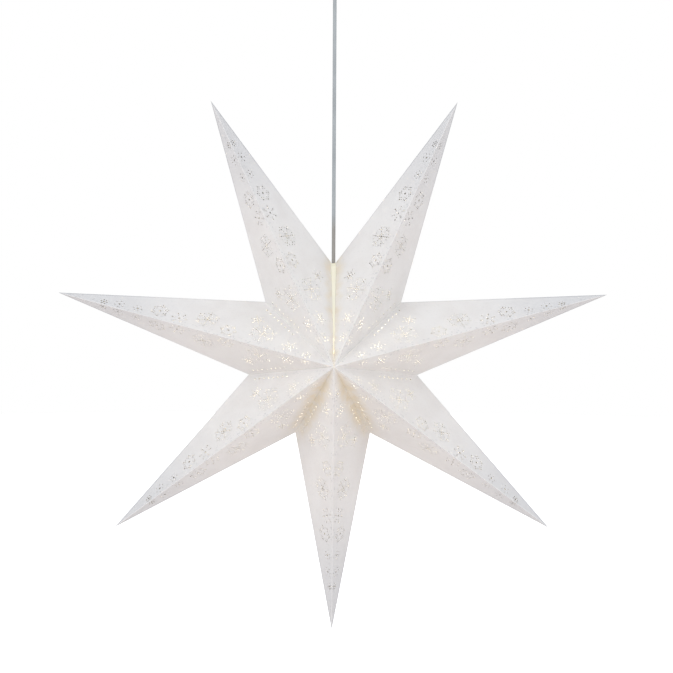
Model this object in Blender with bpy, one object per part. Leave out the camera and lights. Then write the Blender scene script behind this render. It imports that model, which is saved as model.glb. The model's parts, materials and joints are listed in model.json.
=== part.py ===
"""A folded paper star with seven hollow points, hung by a mains cord from a ceiling cup, with a lamp inside.

Metres, +Z up, the star's front towards -Y. The origin is on the ceiling, in the middle of the cup.
Heights in the lamp section are measured from the star's centre.
"""

import math

import bmesh
import bpy
import numpy as np
from mathutils import Matrix, Vector

# The star
POINT_COUNT = 7
STAR_RADIUS = 0.3077
VALLEY_RADIUS = 0.0946
SEAM_VALLEY_RADIUS = 0.1030
HALF_DEPTH = 0.0923
STAR_CENTRE_Z = -0.480
SHEET = 0.0006
GLUE_GAP = 0.0003
SEAM_SPREAD_DEG = 1.6
HALF_PITCH = math.pi / POINT_COUNT
SEAM_FOLD_LENGTH = math.hypot(HALF_DEPTH, SEAM_VALLEY_RADIUS)
POINT_NAMES = (
    "paper_point_bottom",
    "paper_point_lower_right",
    "paper_point_right",
    "paper_point_top_right",
    "paper_point_top_left",
    "paper_point_left",
    "paper_point_lower_left",
)
FIRST_ANGLE = math.radians(270)

# Glue flaps along the valleys
FLAP_WIDTH = 0.009
FLAP_START_RADIUS = 0.004
RIDGE_START_RADIUS = 0.003
FLAP_END_DEPTH = 0.003
SEAM_FLAP_END_DEPTH = 0.021

# Hook and loop dots that close the seam, and the paper strips that cover its gap
DOT_RADIUS = 0.0036
DOT_INSET = 0.0050
DOT_THICKNESS = 0.0009
DOT_ROOT_RADIUS = 0.0545
COVER_THICKNESS = 0.0004
COVER_INSET = 0.0003
COVER_START_RADIUS = 0.0160
COVER_BEND_RADIUS = 0.0988
COVER_TOP_RADIUS = 0.1020
COVER_STEPS = 6

# The cord
CLEARANCE = 0.0003
CORD_RADIUS = 0.0020
CORD_BORE = CORD_RADIUS + CLEARANCE
CORD_STEP = 0.0125
CORD_TOP_Z = -0.0760
CORD_END_HEIGHT = 0.0680

# The ceiling fitting
CUP_RADIUS = 0.045
CUP_DEPTH = 0.058
CUP_WALL = 0.0016
CUP_HOLE = 0.0070
PLATE_HALF_LENGTH = 0.038
PLATE_HALF_WIDTH = 0.009
PLATE_THICKNESS = 0.002
PLATE_EAR = 0.014
CUP_SCREW_Z = -0.0085
CUP_SCREW_RADIUS = 0.0019
PLATE_HOLE_X = 0.026
PLATE_HOLE_RADIUS = 0.0024
TERMINAL_TOP_Z = -0.0045
TERMINAL_HEIGHT = 0.0140
TERMINAL_HALF = (0.011, 0.0075)
TERMINAL_SCREW_X = 0.0052
TERMINAL_SCREW_RADIUS = 0.0017
CLAMP_TOP_Z = -0.0360
CLAMP_HEIGHT = 0.0070
CLAMP_RADIUS = 0.0075
CLAMP_SCREW_RADIUS = 0.0014

ROUND = 40
SMALL_ROUND = 20


def clear_scene():
    for existing in list(bpy.data.objects):
        bpy.data.objects.remove(existing, do_unlink=True)


def material(name, colour, roughness, metallic=0.0, transmission=0.0):
    found = bpy.data.materials.get(name)
    if found:
        return found
    made = bpy.data.materials.new(name)
    made.use_nodes = True
    shader = made.node_tree.nodes["Principled BSDF"]
    shader.inputs["Base Color"].default_value = (*colour, 1.0)
    shader.inputs["Roughness"].default_value = roughness
    shader.inputs["Metallic"].default_value = metallic
    shader.inputs["Transmission Weight"].default_value = transmission
    return made


def finishes():
    """One material for each kind of piece, by its short name."""
    return {
        "paper": material("white_paper", (0.80, 0.78, 0.77), 0.75),
        "fabric": material("hook_and_loop_tape", (0.85, 0.85, 0.84), 0.9),
        "cord": material("cord_sheath", (0.62, 0.64, 0.66), 0.45),
        "holder": material("white_holder_plastic", (0.88, 0.88, 0.86), 0.35),
        "cup": material("white_cup_plastic", (0.90, 0.90, 0.89), 0.3),
        "rubber": material("grey_rubber", (0.55, 0.56, 0.57), 0.6),
        "brass": material("brass", (0.80, 0.62, 0.30), 0.3, 1.0),
        "nickel": material("nickel_plate", (0.72, 0.71, 0.69), 0.25, 1.0),
        "steel": material("zinc_plated_steel", (0.66, 0.67, 0.69), 0.35, 1.0),
        "ceramic": material("white_steatite", (0.86, 0.84, 0.80), 0.5),
        "black_glass": material("black_vitrite", (0.03, 0.02, 0.04), 0.2),
        "glass": material("bulb_glass", (0.95, 0.93, 0.88), 0.05, 0.0, 0.9),
        "filament": material("filament", (1.0, 0.80, 0.45), 0.4),
    }


def add_object(name, mesh, finish, smooth_below_deg=None):
    made = bpy.data.objects.new(name, mesh)
    bpy.context.scene.collection.objects.link(made)
    mesh.materials.append(finish)
    if smooth_below_deg is not None:
        mesh.shade_smooth()
        mesh.set_sharp_from_angle(angle=math.radians(smooth_below_deg))
    return made


def mesh_from_bmesh(name, bm):
    bmesh.ops.recalc_face_normals(bm, faces=bm.faces)
    mesh = bpy.data.meshes.new(name)
    bm.to_mesh(mesh)
    bm.free()
    return mesh


# --- Paper points ---------------------------------------------------------------------------------


def star_centre():
    return np.array([0.0, 0.0, STAR_CENTRE_Z])


def radial(angle):
    """The direction at this angle in the star's plane, counter-clockwise as seen from its front."""
    return np.array([math.cos(angle), 0.0, math.sin(angle)])


def tangent(angle):
    return np.array([-math.sin(angle), 0.0, math.cos(angle)])


def meet(*planes):
    """The point on three planes, each a (normal, distance) pair."""
    return np.linalg.solve(np.array([p[0] for p in planes]), np.array([p[1] for p in planes]))


def unit(vector):
    return vector / np.linalg.norm(vector)


def facet_plane(apex, tip, valley, inside):
    """The outer plane of one facet, its normal facing away from the point's inside."""
    normal = unit(np.cross(tip - apex, valley - apex))
    if normal @ (apex - inside) < 0:
        normal = -normal
    return normal, normal @ apex


def moved(plane, distance):
    """The plane pushed along its own normal."""
    return plane[0], plane[1] + distance


def valley_angles(index):
    """The angles of a point's two valleys: the seam at the top is spread to let the cord through."""
    angle = FIRST_ANGLE + index * 2 * HALF_PITCH
    spread = math.radians(SEAM_SPREAD_DEG)
    seam_after = POINT_COUNT // 2
    low = angle - HALF_PITCH + (spread if index == seam_after + 1 else 0.0)
    high = angle + HALF_PITCH - (spread if index == seam_after else 0.0)
    return angle, {-1: low, 1: high}


def is_seam(index, side):
    half = POINT_COUNT // 2
    return (index, side) in ((half, 1), (half + 1, -1))


def valley_radius(index, side):
    """How far a point's valley corner is from the star's axis."""
    return SEAM_VALLEY_RADIUS if is_seam(index, side) else VALLEY_RADIUS


def paper_point_vertices(index):
    """The outer and inner corners of one folded sheet, each as {name: position}."""
    angle, valleys = valley_angles(index)
    tip = STAR_RADIUS * radial(angle)
    inside = tip / 2
    skins = ({}, {})
    facets = {}
    for face in (-1, 1):
        apex = np.array([0.0, face * HALF_DEPTH, 0.0])
        for side in (-1, 1):
            valley = valley_radius(index, side) * radial(valleys[side])
            facets[face, side] = facet_plane(apex, tip, valley, inside)
    middle = (np.array([0.0, 1.0, 0.0]), 0.0)
    for depth, skin in zip((0.0, -SHEET), skins):
        skin["tip"] = meet(moved(facets[-1, -1], depth), moved(facets[-1, 1], depth), middle)
        for face in (-1, 1):
            apex = np.array([0.0, face * HALF_DEPTH, 0.0])
            ridge = unit(tip - apex)
            start = ridge @ (apex + (tip - apex) * RIDGE_START_RADIUS / STAR_RADIUS)
            skin["ridge", face] = meet(
                moved(facets[face, -1], depth), moved(facets[face, 1], depth), (ridge, start)
            )
        for side in (-1, 1):
            out = side * tangent(valleys[side])
            flap = (out, -GLUE_GAP / 2 + depth)
            skin["valley", side] = meet(
                moved(facets[-1, side], depth), moved(facets[1, side], depth), flap
            )
            for face in (-1, 1):
                add_flap_corners(skin, facets[face, side], flap, depth, (face, side), valleys[side],
                                 is_seam(index, side))
    return skins


def add_flap_corners(skin, facet, flap, depth, key, angle, at_seam):
    """The four corners of one glue flap: two on the valley fold, and two on its free edge.

    Its ends run straight across: one along the star's axis, the other along its middle plane.
    """
    out = radial(angle)
    back = np.array([0.0, float(key[0]), 0.0])
    end_depth = SEAM_FLAP_END_DEPTH if at_seam else FLAP_END_DEPTH
    fold_radius = SEAM_VALLEY_RADIUS if at_seam else VALLEY_RADIUS
    fold_length = math.hypot(HALF_DEPTH, fold_radius)
    drop_in = FLAP_WIDTH * fold_radius / fold_length
    drop_out = FLAP_WIDTH * HALF_DEPTH / fold_length
    fold = moved(facet, depth)
    near = meet(fold, flap, (out, FLAP_START_RADIUS))
    far = meet(fold, flap, (back, end_depth))
    near_root = meet(moved(facet, 0.0), flap, (out, FLAP_START_RADIUS + drop_out))
    far_root = meet(moved(facet, 0.0), flap, (back, end_depth + drop_in))
    skin["near", *key] = near
    skin["far", *key] = far
    skin["near_free", *key] = near_root - out * drop_out - back * drop_in
    skin["far_free", *key] = far_root - out * drop_out - back * drop_in


def paper_point_faces():
    """The skin's faces and its one closed border, as lists of corner names."""
    faces = []
    for face in (-1, 1):
        for side in (-1, 1):
            key = (face, side)
            faces.append([("ridge", face), "tip", ("valley", side), ("far", *key), ("near", *key)])
            faces.append([("near", *key), ("far", *key), ("far_free", *key), ("near_free", *key)])
    border = []
    for face, side in ((-1, 1), (1, 1), (1, -1), (-1, -1)):
        run = [("near", face, side), ("near_free", face, side), ("far_free", face, side),
               ("far", face, side)]
        if face == side:
            border += [("valley", side)] + run[::-1]
        else:
            border += [("ridge", face)] + run
    return faces, border


def build_paper_point(index, finish):
    outer, inner = paper_point_vertices(index)
    faces, border = paper_point_faces()
    centre = star_centre()
    bm = bmesh.new()
    skins = [{name: bm.verts.new(Vector(at + centre)) for name, at in skin.items()}
             for skin in (outer, inner)]
    for skin in skins:
        for face in faces:
            bm.faces.new([skin[name] for name in face])
    for here, there in zip(border, border[1:] + border[:1]):
        bm.faces.new([skins[0][here], skins[0][there], skins[1][there], skins[1][here]])
    bmesh.ops.triangulate(bm, faces=bm.faces)
    return add_object(POINT_NAMES[index], mesh_from_bmesh(POINT_NAMES[index], bm), finish)


# --- Turned and other round pieces ----------------------------------------------------------------


def turned(name, profile, finish, height=0.0, segments=ROUND, place=None):
    """A piece turned about Z from a closed (radius, z) outline; a radius of 0 lies on the axis."""
    bm = bmesh.new()
    rings = []
    for radius, z in profile:
        count = 1 if radius == 0 else segments
        ring = []
        for step in range(count):
            around = 2 * math.pi * step / segments
            ring.append(bm.verts.new((radius * math.cos(around), radius * math.sin(around), z + height)))
        rings.append(ring)
    for first, second in zip(rings, rings[1:] + rings[:1]):
        for step in range(segments):
            corners = [first[step % len(first)], first[(step + 1) % len(first)],
                       second[(step + 1) % len(second)], second[step % len(second)]]
            corners = list(dict.fromkeys(corners))
            if len(corners) > 2:
                bm.faces.new(corners)
    mesh = mesh_from_bmesh(name, bm)
    if place is not None:
        mesh.transform(place)
    return add_object(name, mesh, finish, smooth_below_deg=35)


def arc(centre_r, centre_z, radius, start_deg, end_deg, steps):
    """Points of an arc in the (radius, z) plane."""
    points = []
    for step in range(steps + 1):
        at = math.radians(start_deg + (end_deg - start_deg) * step / steps)
        points.append((centre_r + radius * math.cos(at), centre_z + radius * math.sin(at)))
    return points


def cylinder(name, radius, low, high, finish, place=None, segments=SMALL_ROUND):
    return turned(name, [(0, low), (radius, low), (radius, high), (0, high)], finish,
                  segments=segments, place=place)


def box(name, low, high, finish):
    bm = bmesh.new()
    bmesh.ops.create_cube(bm, size=1.0)
    low, high = Vector(low), Vector(high)
    size = high - low
    bmesh.ops.transform(bm, verts=bm.verts,
                        matrix=Matrix.Translation((low + high) / 2) @ Matrix.Diagonal((*size, 1.0)))
    return add_object(name, mesh_from_bmesh(name, bm), finish)


def cutter(made):
    made.hide_render = True
    made.display_type = "WIRE"
    return made


def cut(target, tool, operation="DIFFERENCE"):
    change = target.modifiers.new("cut", "BOOLEAN")
    change.operation = operation
    change.solver = "EXACT"
    change.object = cutter(tool)


def along_x(x, y, z):
    """Turns a piece that was made along Z so that it lies along +X, and places it."""
    return Matrix.Translation((x, y, z)) @ Matrix.Rotation(math.pi / 2, 4, "Y")


# --- Seam -----------------------------------------------------------------------------------------


def fold_depth(radius, inset=0.0):
    """How far the seam's fold is from the middle plane at this radius, or a line this far inside it."""
    return HALF_DEPTH * (1 - radius / SEAM_VALLEY_RADIUS) - inset * SEAM_FOLD_LENGTH / SEAM_VALLEY_RADIUS


def build_seam_cover(name, face, finish):
    """A narrow strip between the seam's two flaps, just inside their folds, bent up in front of the cord.

    It is glued to the top left point's flap and stops short of the other one, so the seam opens.
    """
    inner = COVER_INSET + COVER_THICKNESS
    bend = fold_depth(COVER_BEND_RADIUS, COVER_INSET)
    run = COVER_BEND_RADIUS - COVER_START_RADIUS
    radii = [COVER_START_RADIUS + run * step / COVER_STEPS for step in range(COVER_STEPS)]
    sections = [(radius, fold_depth(radius, COVER_INSET), fold_depth(radius, inner)) for radius in radii]
    sections += [(radius, bend, bend - COVER_THICKNESS) for radius in (COVER_BEND_RADIUS, COVER_TOP_RADIUS)]
    spread = math.sin(math.radians(SEAM_SPREAD_DEG))
    bm = bmesh.new()
    loops = []
    for radius, outer_depth, inner_depth in sections:
        half_width = radius * spread + GLUE_GAP / 2 - CLEARANCE
        corners = [(-half_width, outer_depth), (half_width, outer_depth),
                   (half_width, inner_depth), (-half_width, inner_depth)]
        loops.append([bm.verts.new((x, face * depth, STAR_CENTRE_Z + radius)) for x, depth in corners])
    for first, second in zip(loops, loops[1:]):
        for here in range(4):
            there = (here + 1) % 4
            bm.faces.new([first[here], first[there], second[there], second[here]])
    bm.faces.new(loops[0])
    bm.faces.new(loops[-1])
    bmesh.ops.triangulate(bm, faces=bm.faces)
    return add_object(name, mesh_from_bmesh(name, bm), finish)


def build_seam_dot(name, side, face, finish):
    """One half of a hook and loop pair, lying flat on the seam's flap, facing its other half."""
    spread = math.radians(SEAM_SPREAD_DEG)
    angle = math.pi / 2 - side * spread
    into_gap = -side * np.array([math.sin(angle), 0.0, -math.cos(angle)])
    radius = DOT_ROOT_RADIUS - DOT_INSET * HALF_DEPTH / SEAM_FOLD_LENGTH
    depth = fold_depth(DOT_ROOT_RADIUS) - DOT_INSET * SEAM_VALLEY_RADIUS / SEAM_FOLD_LENGTH
    centre = star_centre() + radius * radial(angle) + np.array([0.0, face * depth, 0.0])
    centre = centre + into_gap * (CLEARANCE - GLUE_GAP / 2)
    turn = Vector((0, 0, 1)).rotation_difference(Vector(into_gap)).to_matrix().to_4x4()
    return cylinder(name, DOT_RADIUS, 0.0, DOT_THICKNESS, finish,
                    place=Matrix.Translation(Vector(centre)) @ turn)


# --- Lamp -----------------------------------------------------------------------------------------


def build_lamp(finish):
    """The holder and its bulb, hanging on the cord inside the star. Heights are from its centre."""
    at = STAR_CENTRE_Z
    turned("lamp_cord_grip",
           [(CORD_BORE, 0.0760), (0.0070, 0.0760), (0.0070, 0.0795), (0.0062, 0.0805),
            (0.0046, 0.0885), (CORD_BORE, 0.0885)],
           finish["holder"], at, SMALL_ROUND)
    turned("lampholder_cap",
           [(CORD_BORE, 0.0742), (CORD_BORE, 0.0757), (0.0078, 0.0757), (0.0110, 0.0735),
            (0.0130, 0.0700), (0.0137, 0.0660), (0.0140, 0.0500), (0.0125, 0.0500),
            (0.0122, 0.0655), (0.0115, 0.0690), (0.0098, 0.0720), (0.0072, 0.0742)],
           finish["holder"], at)
    turned("lampholder_skirt",
           [(0.0114, 0.0210), (0.0128, 0.0210), (0.0132, 0.0225), (0.0135, 0.0497),
            (0.0114, 0.0497)],
           finish["holder"], at)
    turned("thread_sleeve",
           [(0.0076, 0.0245), (0.0088, 0.0245), (0.0088, 0.0460), (0.0076, 0.0460)],
           finish["brass"], at)
    turned("contact_block",
           [(0.0, 0.0463), (0.0110, 0.0463), (0.0110, 0.0520), (0.0085, 0.0530),
            (0.0085, 0.0580), (0.0, 0.0580)],
           finish["ceramic"], at)
    build_contact_tongue(finish["brass"], at)
    for side, name in ((-1, "live_terminal_screw"), (1, "neutral_terminal_screw")):
        place = Matrix.Translation((side * 0.0048, 0.0, at))
        turned(name,
               [(0.0, 0.0583), (0.0022, 0.0583), (0.0022, 0.0596), (0.0014, 0.0606), (0.0, 0.0606)],
               finish["brass"], segments=SMALL_ROUND, place=place)
    turned("bulb_cap", bulb_cap_profile(), finish["nickel"], at)
    turned("bulb_insulator",
           [(0.0, 0.0408), (0.0066, 0.0408), (0.0048, 0.0425), (0.0030, 0.0430), (0.0, 0.0430)],
           finish["black_glass"], at, SMALL_ROUND)
    cylinder("bulb_contact", 0.0022, 0.0433, 0.0441, finish["brass"],
             Matrix.Translation((0, 0, at)))
    turned("bulb_glass", bulb_glass_profile(), finish["glass"], at)
    turned("bulb_filament",
           [(0.0, 0.0090), (0.0010, 0.0092), (0.0012, 0.0180), (0.0022, 0.0190), (0.0024, 0.0230),
            (0.0040, 0.0290), (0.0, 0.0290)],
           finish["filament"], at, SMALL_ROUND)


def bulb_cap_profile():
    """The screw base: rounded threads outside, a plain bore inside."""
    low, high, threads = 0.0236, 0.0405, 5
    pitch = (high - 0.0020 - low - 0.0030) / threads
    outer = [(0.0070, low)]
    for turn in range(threads):
        base = low + 0.0030 + turn * pitch
        outer += [(0.0066, base), (0.0070, base + pitch / 2)]
    outer += [(0.0066, high - 0.0020), (0.0060, high)]
    return outer + [(0.0054, high), (0.0062, high - 0.0022), (0.0064, low)]


def bulb_glass_profile():
    """A small round bulb, open at its neck, as outer wall then inner wall."""
    radius, wall, low, neck, neck_top = 0.0110, 0.0006, 0.0020, 0.0060, 0.0300
    middle, shoulder = low + radius, 0.0180
    outer = [(0.0, low)] + arc(0.0, middle, radius, -75, 0, 6)
    outer += [(radius, shoulder), (0.0098, 0.0205), (0.0072, 0.0228), (neck, 0.0240), (neck, neck_top)]
    inner = [(neck - wall, neck_top), (neck - wall, 0.0238), (0.0068, 0.0224), (0.0093, 0.0201),
             (radius - wall, shoulder - 0.0003)]
    inner += arc(0.0, middle, radius - wall, 0, -75, 6) + [(0.0, low + wall)]
    return outer + inner


def build_contact_tongue(finish, at):
    """A springy strip under the contact block that touches the bulb's centre."""
    half_width, thick = 0.0018, 0.0004
    outline = [(-0.0050, 0.0460), (-0.0050, 0.0460 - thick), (-0.0022, 0.0456), (0.0002, 0.0444),
               (0.0020, 0.0444), (0.0020, 0.0448), (0.0004, 0.0448), (-0.0020, 0.0460)]
    bm = bmesh.new()
    ends = [[bm.verts.new((x, y, z + at)) for x, z in outline] for y in (-half_width, half_width)]
    bm.faces.new(ends[0])
    bm.faces.new(ends[1])
    for here in range(len(outline)):
        there = (here + 1) % len(outline)
        bm.faces.new([ends[0][here], ends[0][there], ends[1][there], ends[1][here]])
    return add_object("centre_contact", mesh_from_bmesh("centre_contact", bm), finish)


# --- Cord -----------------------------------------------------------------------------------------


def tube(name, points, finish):
    """A round cord along these points, with flat ends."""
    curve = bpy.data.curves.new(name, "CURVE")
    curve.dimensions = "3D"
    curve.bevel_depth = CORD_RADIUS
    curve.bevel_resolution = 3
    curve.use_fill_caps = True
    line = curve.splines.new("POLY")
    line.points.add(len(points) - 1)
    for spot, at in zip(line.points, points):
        spot.co = (*at, 1.0)
    curve.materials.append(finish)
    made = bpy.data.objects.new(name, curve)
    bpy.context.scene.collection.objects.link(made)
    return made


def smooth_route(stations, count):
    """Points of an even curve through the stations, by Catmull-Rom."""
    stations = [np.array(at) for at in stations]
    ends = [2 * stations[0] - stations[1], *stations, 2 * stations[-1] - stations[-2]]
    points = []
    spans = len(stations) - 1
    for step in range(count):
        along = spans * step / (count - 1)
        first = min(int(along), spans - 1)
        t = along - first
        a, b, c, d = ends[first:first + 4]
        points.append(0.5 * (2 * b + (c - a) * t + (2 * a - 5 * b + 4 * c - d) * t**2
                             + (3 * b - a - 3 * c + d) * t**3))
    return points


def build_cord(finish):
    """The hanging cord, straight under the star's weight, from the relief sleeve to the lamp."""
    bottom = STAR_CENTRE_Z + CORD_END_HEIGHT
    steps = round((CORD_TOP_Z - bottom) / CORD_STEP)
    points = [(0.0, 0.0, CORD_TOP_Z + (bottom - CORD_TOP_Z) * step / steps) for step in range(steps + 1)]
    tube("cord", points, finish["cord"])
    tail = [(0.0115, 0.0, -0.0115), (0.0180, 0.0, -0.0120), (0.0210, 0.0, -0.0200),
            (0.0120, 0.0, -0.0270), (0.0020, 0.0, -0.0310), (0.0, 0.0, -0.0380),
            (0.0, 0.0, -0.0480), (0.0, 0.0, -0.0590)]
    tube("cord_tail", smooth_route(tail, 30), finish["cord"])


# --- Ceiling fitting ------------------------------------------------------------------------------


def build_ceiling_plate(finish):
    """A flat strip against the ceiling, its two ends turned down to take the cup's screws."""
    x, y = PLATE_HALF_LENGTH, PLATE_HALF_WIDTH
    outline = [(-x, 0.0), (x, 0.0), (x, -PLATE_EAR), (x - PLATE_THICKNESS, -PLATE_EAR),
               (x - PLATE_THICKNESS, -PLATE_THICKNESS), (PLATE_THICKNESS - x, -PLATE_THICKNESS),
               (PLATE_THICKNESS - x, -PLATE_EAR), (-x, -PLATE_EAR)]
    bm = bmesh.new()
    ends = [[bm.verts.new((px, py, pz)) for px, pz in outline] for py in (-y, y)]
    bm.faces.new(ends[0])
    bm.faces.new(ends[1])
    for here in range(len(outline)):
        there = (here + 1) % len(outline)
        bm.faces.new([ends[0][here], ends[0][there], ends[1][there], ends[1][here]])
    plate = add_object("ceiling_plate", mesh_from_bmesh("ceiling_plate", bm), finish["steel"])
    for side, name in ((-1, "left"), (1, "right")):
        cut(plate, cylinder(f"plate_hole_{name}", PLATE_HOLE_RADIUS, -0.004, 0.002, finish["steel"],
                            Matrix.Translation((side * PLATE_HOLE_X, 0, 0))))
        cut(plate, cylinder(f"ear_hole_{name}", CUP_SCREW_RADIUS + CLEARANCE, -0.006, 0.006,
                            finish["steel"], along_x(side * x, 0, CUP_SCREW_Z)))
    return plate


def build_ceiling_cup(finish):
    """The cup over the wiring: its rim meets the ceiling, and a bush fills the hole in its bottom."""
    corner, wall, depth = 0.012, CUP_WALL, CUP_DEPTH
    low_radius = CUP_RADIUS - 0.003
    outer = [(CUP_HOLE, -depth), (low_radius - corner, -depth)]
    outer += arc(low_radius - corner, corner - depth, corner, -80, -5, 6)
    outer += [(CUP_RADIUS, 0.0)]
    inner = [(CUP_RADIUS - wall, 0.0)]
    inner += arc(low_radius - corner, corner - depth, corner - wall, -5, -80, 6)
    inner += [(low_radius - corner, wall - depth), (CUP_HOLE, wall - depth)]
    cup = turned("ceiling_cup", outer + inner, finish["cup"], segments=64)
    for side, name in ((-1, "left"), (1, "right")):
        cut(cup, cylinder(f"cup_hole_{name}", CUP_SCREW_RADIUS + CLEARANCE, -0.006, 0.006,
                          finish["cup"], along_x(side * CUP_RADIUS, 0, CUP_SCREW_Z)))
        place = along_x(0, 0, CUP_SCREW_Z)
        if side < 0:
            place = Matrix.Rotation(math.pi, 4, "Z") @ place
        shank_start = PLATE_HALF_LENGTH - PLATE_THICKNESS - 0.002
        turned(f"cup_screw_{name}",
               [(0.0, shank_start), (CUP_SCREW_RADIUS, shank_start),
                (CUP_SCREW_RADIUS, CUP_RADIUS + 0.0004), (0.0038, CUP_RADIUS + 0.0004),
                (0.0034, CUP_RADIUS + 0.0018), (0.0018, CUP_RADIUS + 0.0026),
                (0.0, CUP_RADIUS + 0.0026)],
               finish["nickel"], segments=SMALL_ROUND, place=place)


def build_cord_outlet(finish):
    """Bush, nut and strain clamp that hold the cord in the cup, and the sleeve that it bends in."""
    depth = CUP_DEPTH
    turned("cord_bush",
           [(0.0033, -0.0470), (0.0065, -0.0470), (0.0065, -0.0583), (0.0100, -0.0583),
            (0.0098, -0.0600), (0.0084, -0.0620), (0.0075, -0.0620), (0.0052, -0.0600),
            (0.0033, -0.0585)],
           finish["cup"])
    turned("bush_nut",
           [(0.0068, -depth + CUP_WALL + CLEARANCE), (0.0100, -depth + CUP_WALL + CLEARANCE),
            (0.0100, -0.0515), (0.0068, -0.0515)],
           finish["cup"], segments=6 * 2)
    clamp = turned("strain_clamp",
                   [(CORD_BORE, CLAMP_TOP_Z - CLAMP_HEIGHT), (CLAMP_RADIUS, CLAMP_TOP_Z - CLAMP_HEIGHT),
                    (CLAMP_RADIUS, CLAMP_TOP_Z), (CORD_BORE, CLAMP_TOP_Z)],
                   finish["holder"], segments=SMALL_ROUND)
    middle = CLAMP_TOP_Z - CLAMP_HEIGHT / 2
    cut(clamp, cylinder("clamp_screw_hole", CLAMP_SCREW_RADIUS + CLEARANCE, 0.0034, 0.010,
                        finish["holder"], along_x(0, 0, middle)))
    turned("strain_clamp_screw",
           [(0.0, 0.0036), (CLAMP_SCREW_RADIUS, 0.0036), (CLAMP_SCREW_RADIUS, 0.0080),
            (0.0024, 0.0080), (0.0024, 0.0092), (0.0, 0.0092)],
           finish["steel"], segments=SMALL_ROUND, place=along_x(0, 0, middle))
    turned("cord_sleeve",
           [(0.0, -0.0610), (0.0036, -0.0610), (0.0046, -0.0630), (0.0048, -0.0780),
            (0.0042, -0.0780), (0.0033, -0.0750), (0.0, -0.0750)],
           finish["rubber"], segments=SMALL_ROUND)


def build_terminals(finish):
    """A two pole terminal block under the plate, with its four screws."""
    x, y = TERMINAL_HALF
    low = TERMINAL_TOP_Z - TERMINAL_HEIGHT
    block = box("terminal_block", (-x, -y, low),
                (x, y, TERMINAL_TOP_Z), finish["holder"])
    depth = 0.0050
    corners = [(sx, sy) for sx in (-1, 1) for sy in (-1, 1)]
    for number, (sx, sy) in enumerate(corners, start=1):
        place = Matrix.Translation((sx * TERMINAL_SCREW_X, sy * y / 2, low))
        cut(block, cylinder(f"terminal_hole_{number}", TERMINAL_SCREW_RADIUS + CLEARANCE, -0.002, depth,
                            finish["holder"], place))
        cylinder(f"terminal_screw_{number}", TERMINAL_SCREW_RADIUS, 0.0010, depth - CLEARANCE,
                 finish["brass"], place)


def main():
    clear_scene()
    finish = finishes()
    for index in range(POINT_COUNT):
        build_paper_point(index, finish["paper"])
    for face, where in ((-1, "front"), (1, "back")):
        build_seam_dot(f"seam_hook_dot_{where}", -1, face, finish["fabric"])
        build_seam_dot(f"seam_loop_dot_{where}", 1, face, finish["fabric"])
        build_seam_cover(f"seam_cover_{where}", face, finish["paper"])
    build_lamp(finish)
    build_cord(finish)
    build_ceiling_plate(finish)
    build_ceiling_cup(finish)
    build_cord_outlet(finish)
    build_terminals(finish)


main()
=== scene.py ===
"""A folded paper star with seven punched points, its cord, lamp and ceiling cup, in soft light.

Sizes are in metres, and outlines for turning are in millimetres. The star faces -Y, and the cup's rim
meets the ceiling at z = 0.
"""

import json
import logging
import math
from dataclasses import dataclass, field
from enum import Enum
from typing import Any, Iterable, Sequence

import bmesh
import bpy
import numpy as np
from bmesh.types import BMesh
from bpy.types import ID, Material, Mesh, Node, NodeSocket, Object, World
from mathutils import Euler, Matrix, Vector
from mathutils.geometry import delaunay_2d_cdt

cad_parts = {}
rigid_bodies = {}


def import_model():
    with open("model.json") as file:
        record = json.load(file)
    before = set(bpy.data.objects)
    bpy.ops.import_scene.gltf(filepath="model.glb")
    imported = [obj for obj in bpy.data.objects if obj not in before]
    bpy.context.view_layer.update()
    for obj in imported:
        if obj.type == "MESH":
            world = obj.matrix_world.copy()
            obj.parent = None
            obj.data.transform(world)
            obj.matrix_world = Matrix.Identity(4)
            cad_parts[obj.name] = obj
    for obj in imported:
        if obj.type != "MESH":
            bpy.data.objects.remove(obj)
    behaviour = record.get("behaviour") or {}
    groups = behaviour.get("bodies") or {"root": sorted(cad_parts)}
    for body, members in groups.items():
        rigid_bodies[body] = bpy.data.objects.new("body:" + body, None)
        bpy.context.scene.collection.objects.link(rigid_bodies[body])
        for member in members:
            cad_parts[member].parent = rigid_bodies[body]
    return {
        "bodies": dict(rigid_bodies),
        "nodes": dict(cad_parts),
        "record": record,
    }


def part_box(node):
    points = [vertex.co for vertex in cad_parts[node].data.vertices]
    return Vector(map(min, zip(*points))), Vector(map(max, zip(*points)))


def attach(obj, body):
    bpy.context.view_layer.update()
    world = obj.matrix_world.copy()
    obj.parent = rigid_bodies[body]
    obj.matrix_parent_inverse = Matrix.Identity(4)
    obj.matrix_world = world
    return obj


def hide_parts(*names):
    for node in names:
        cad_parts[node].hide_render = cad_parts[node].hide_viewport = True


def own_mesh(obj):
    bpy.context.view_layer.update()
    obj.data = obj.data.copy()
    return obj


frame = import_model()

LOG = logging.getLogger("paper_star")
MM = 0.001
SMOOTH_TURNED = 35.0
SMOOTH_SOFT = 40.0
WHITE = (1.0, 1.0, 1.0)
PRINTED_SIDE, PLAIN_SIDE = 0, 1
Colour = tuple[float, float, float]
Outline = list[tuple[float, float]]


# --- Shader writing -------------------------------------------------------------------------------


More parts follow.
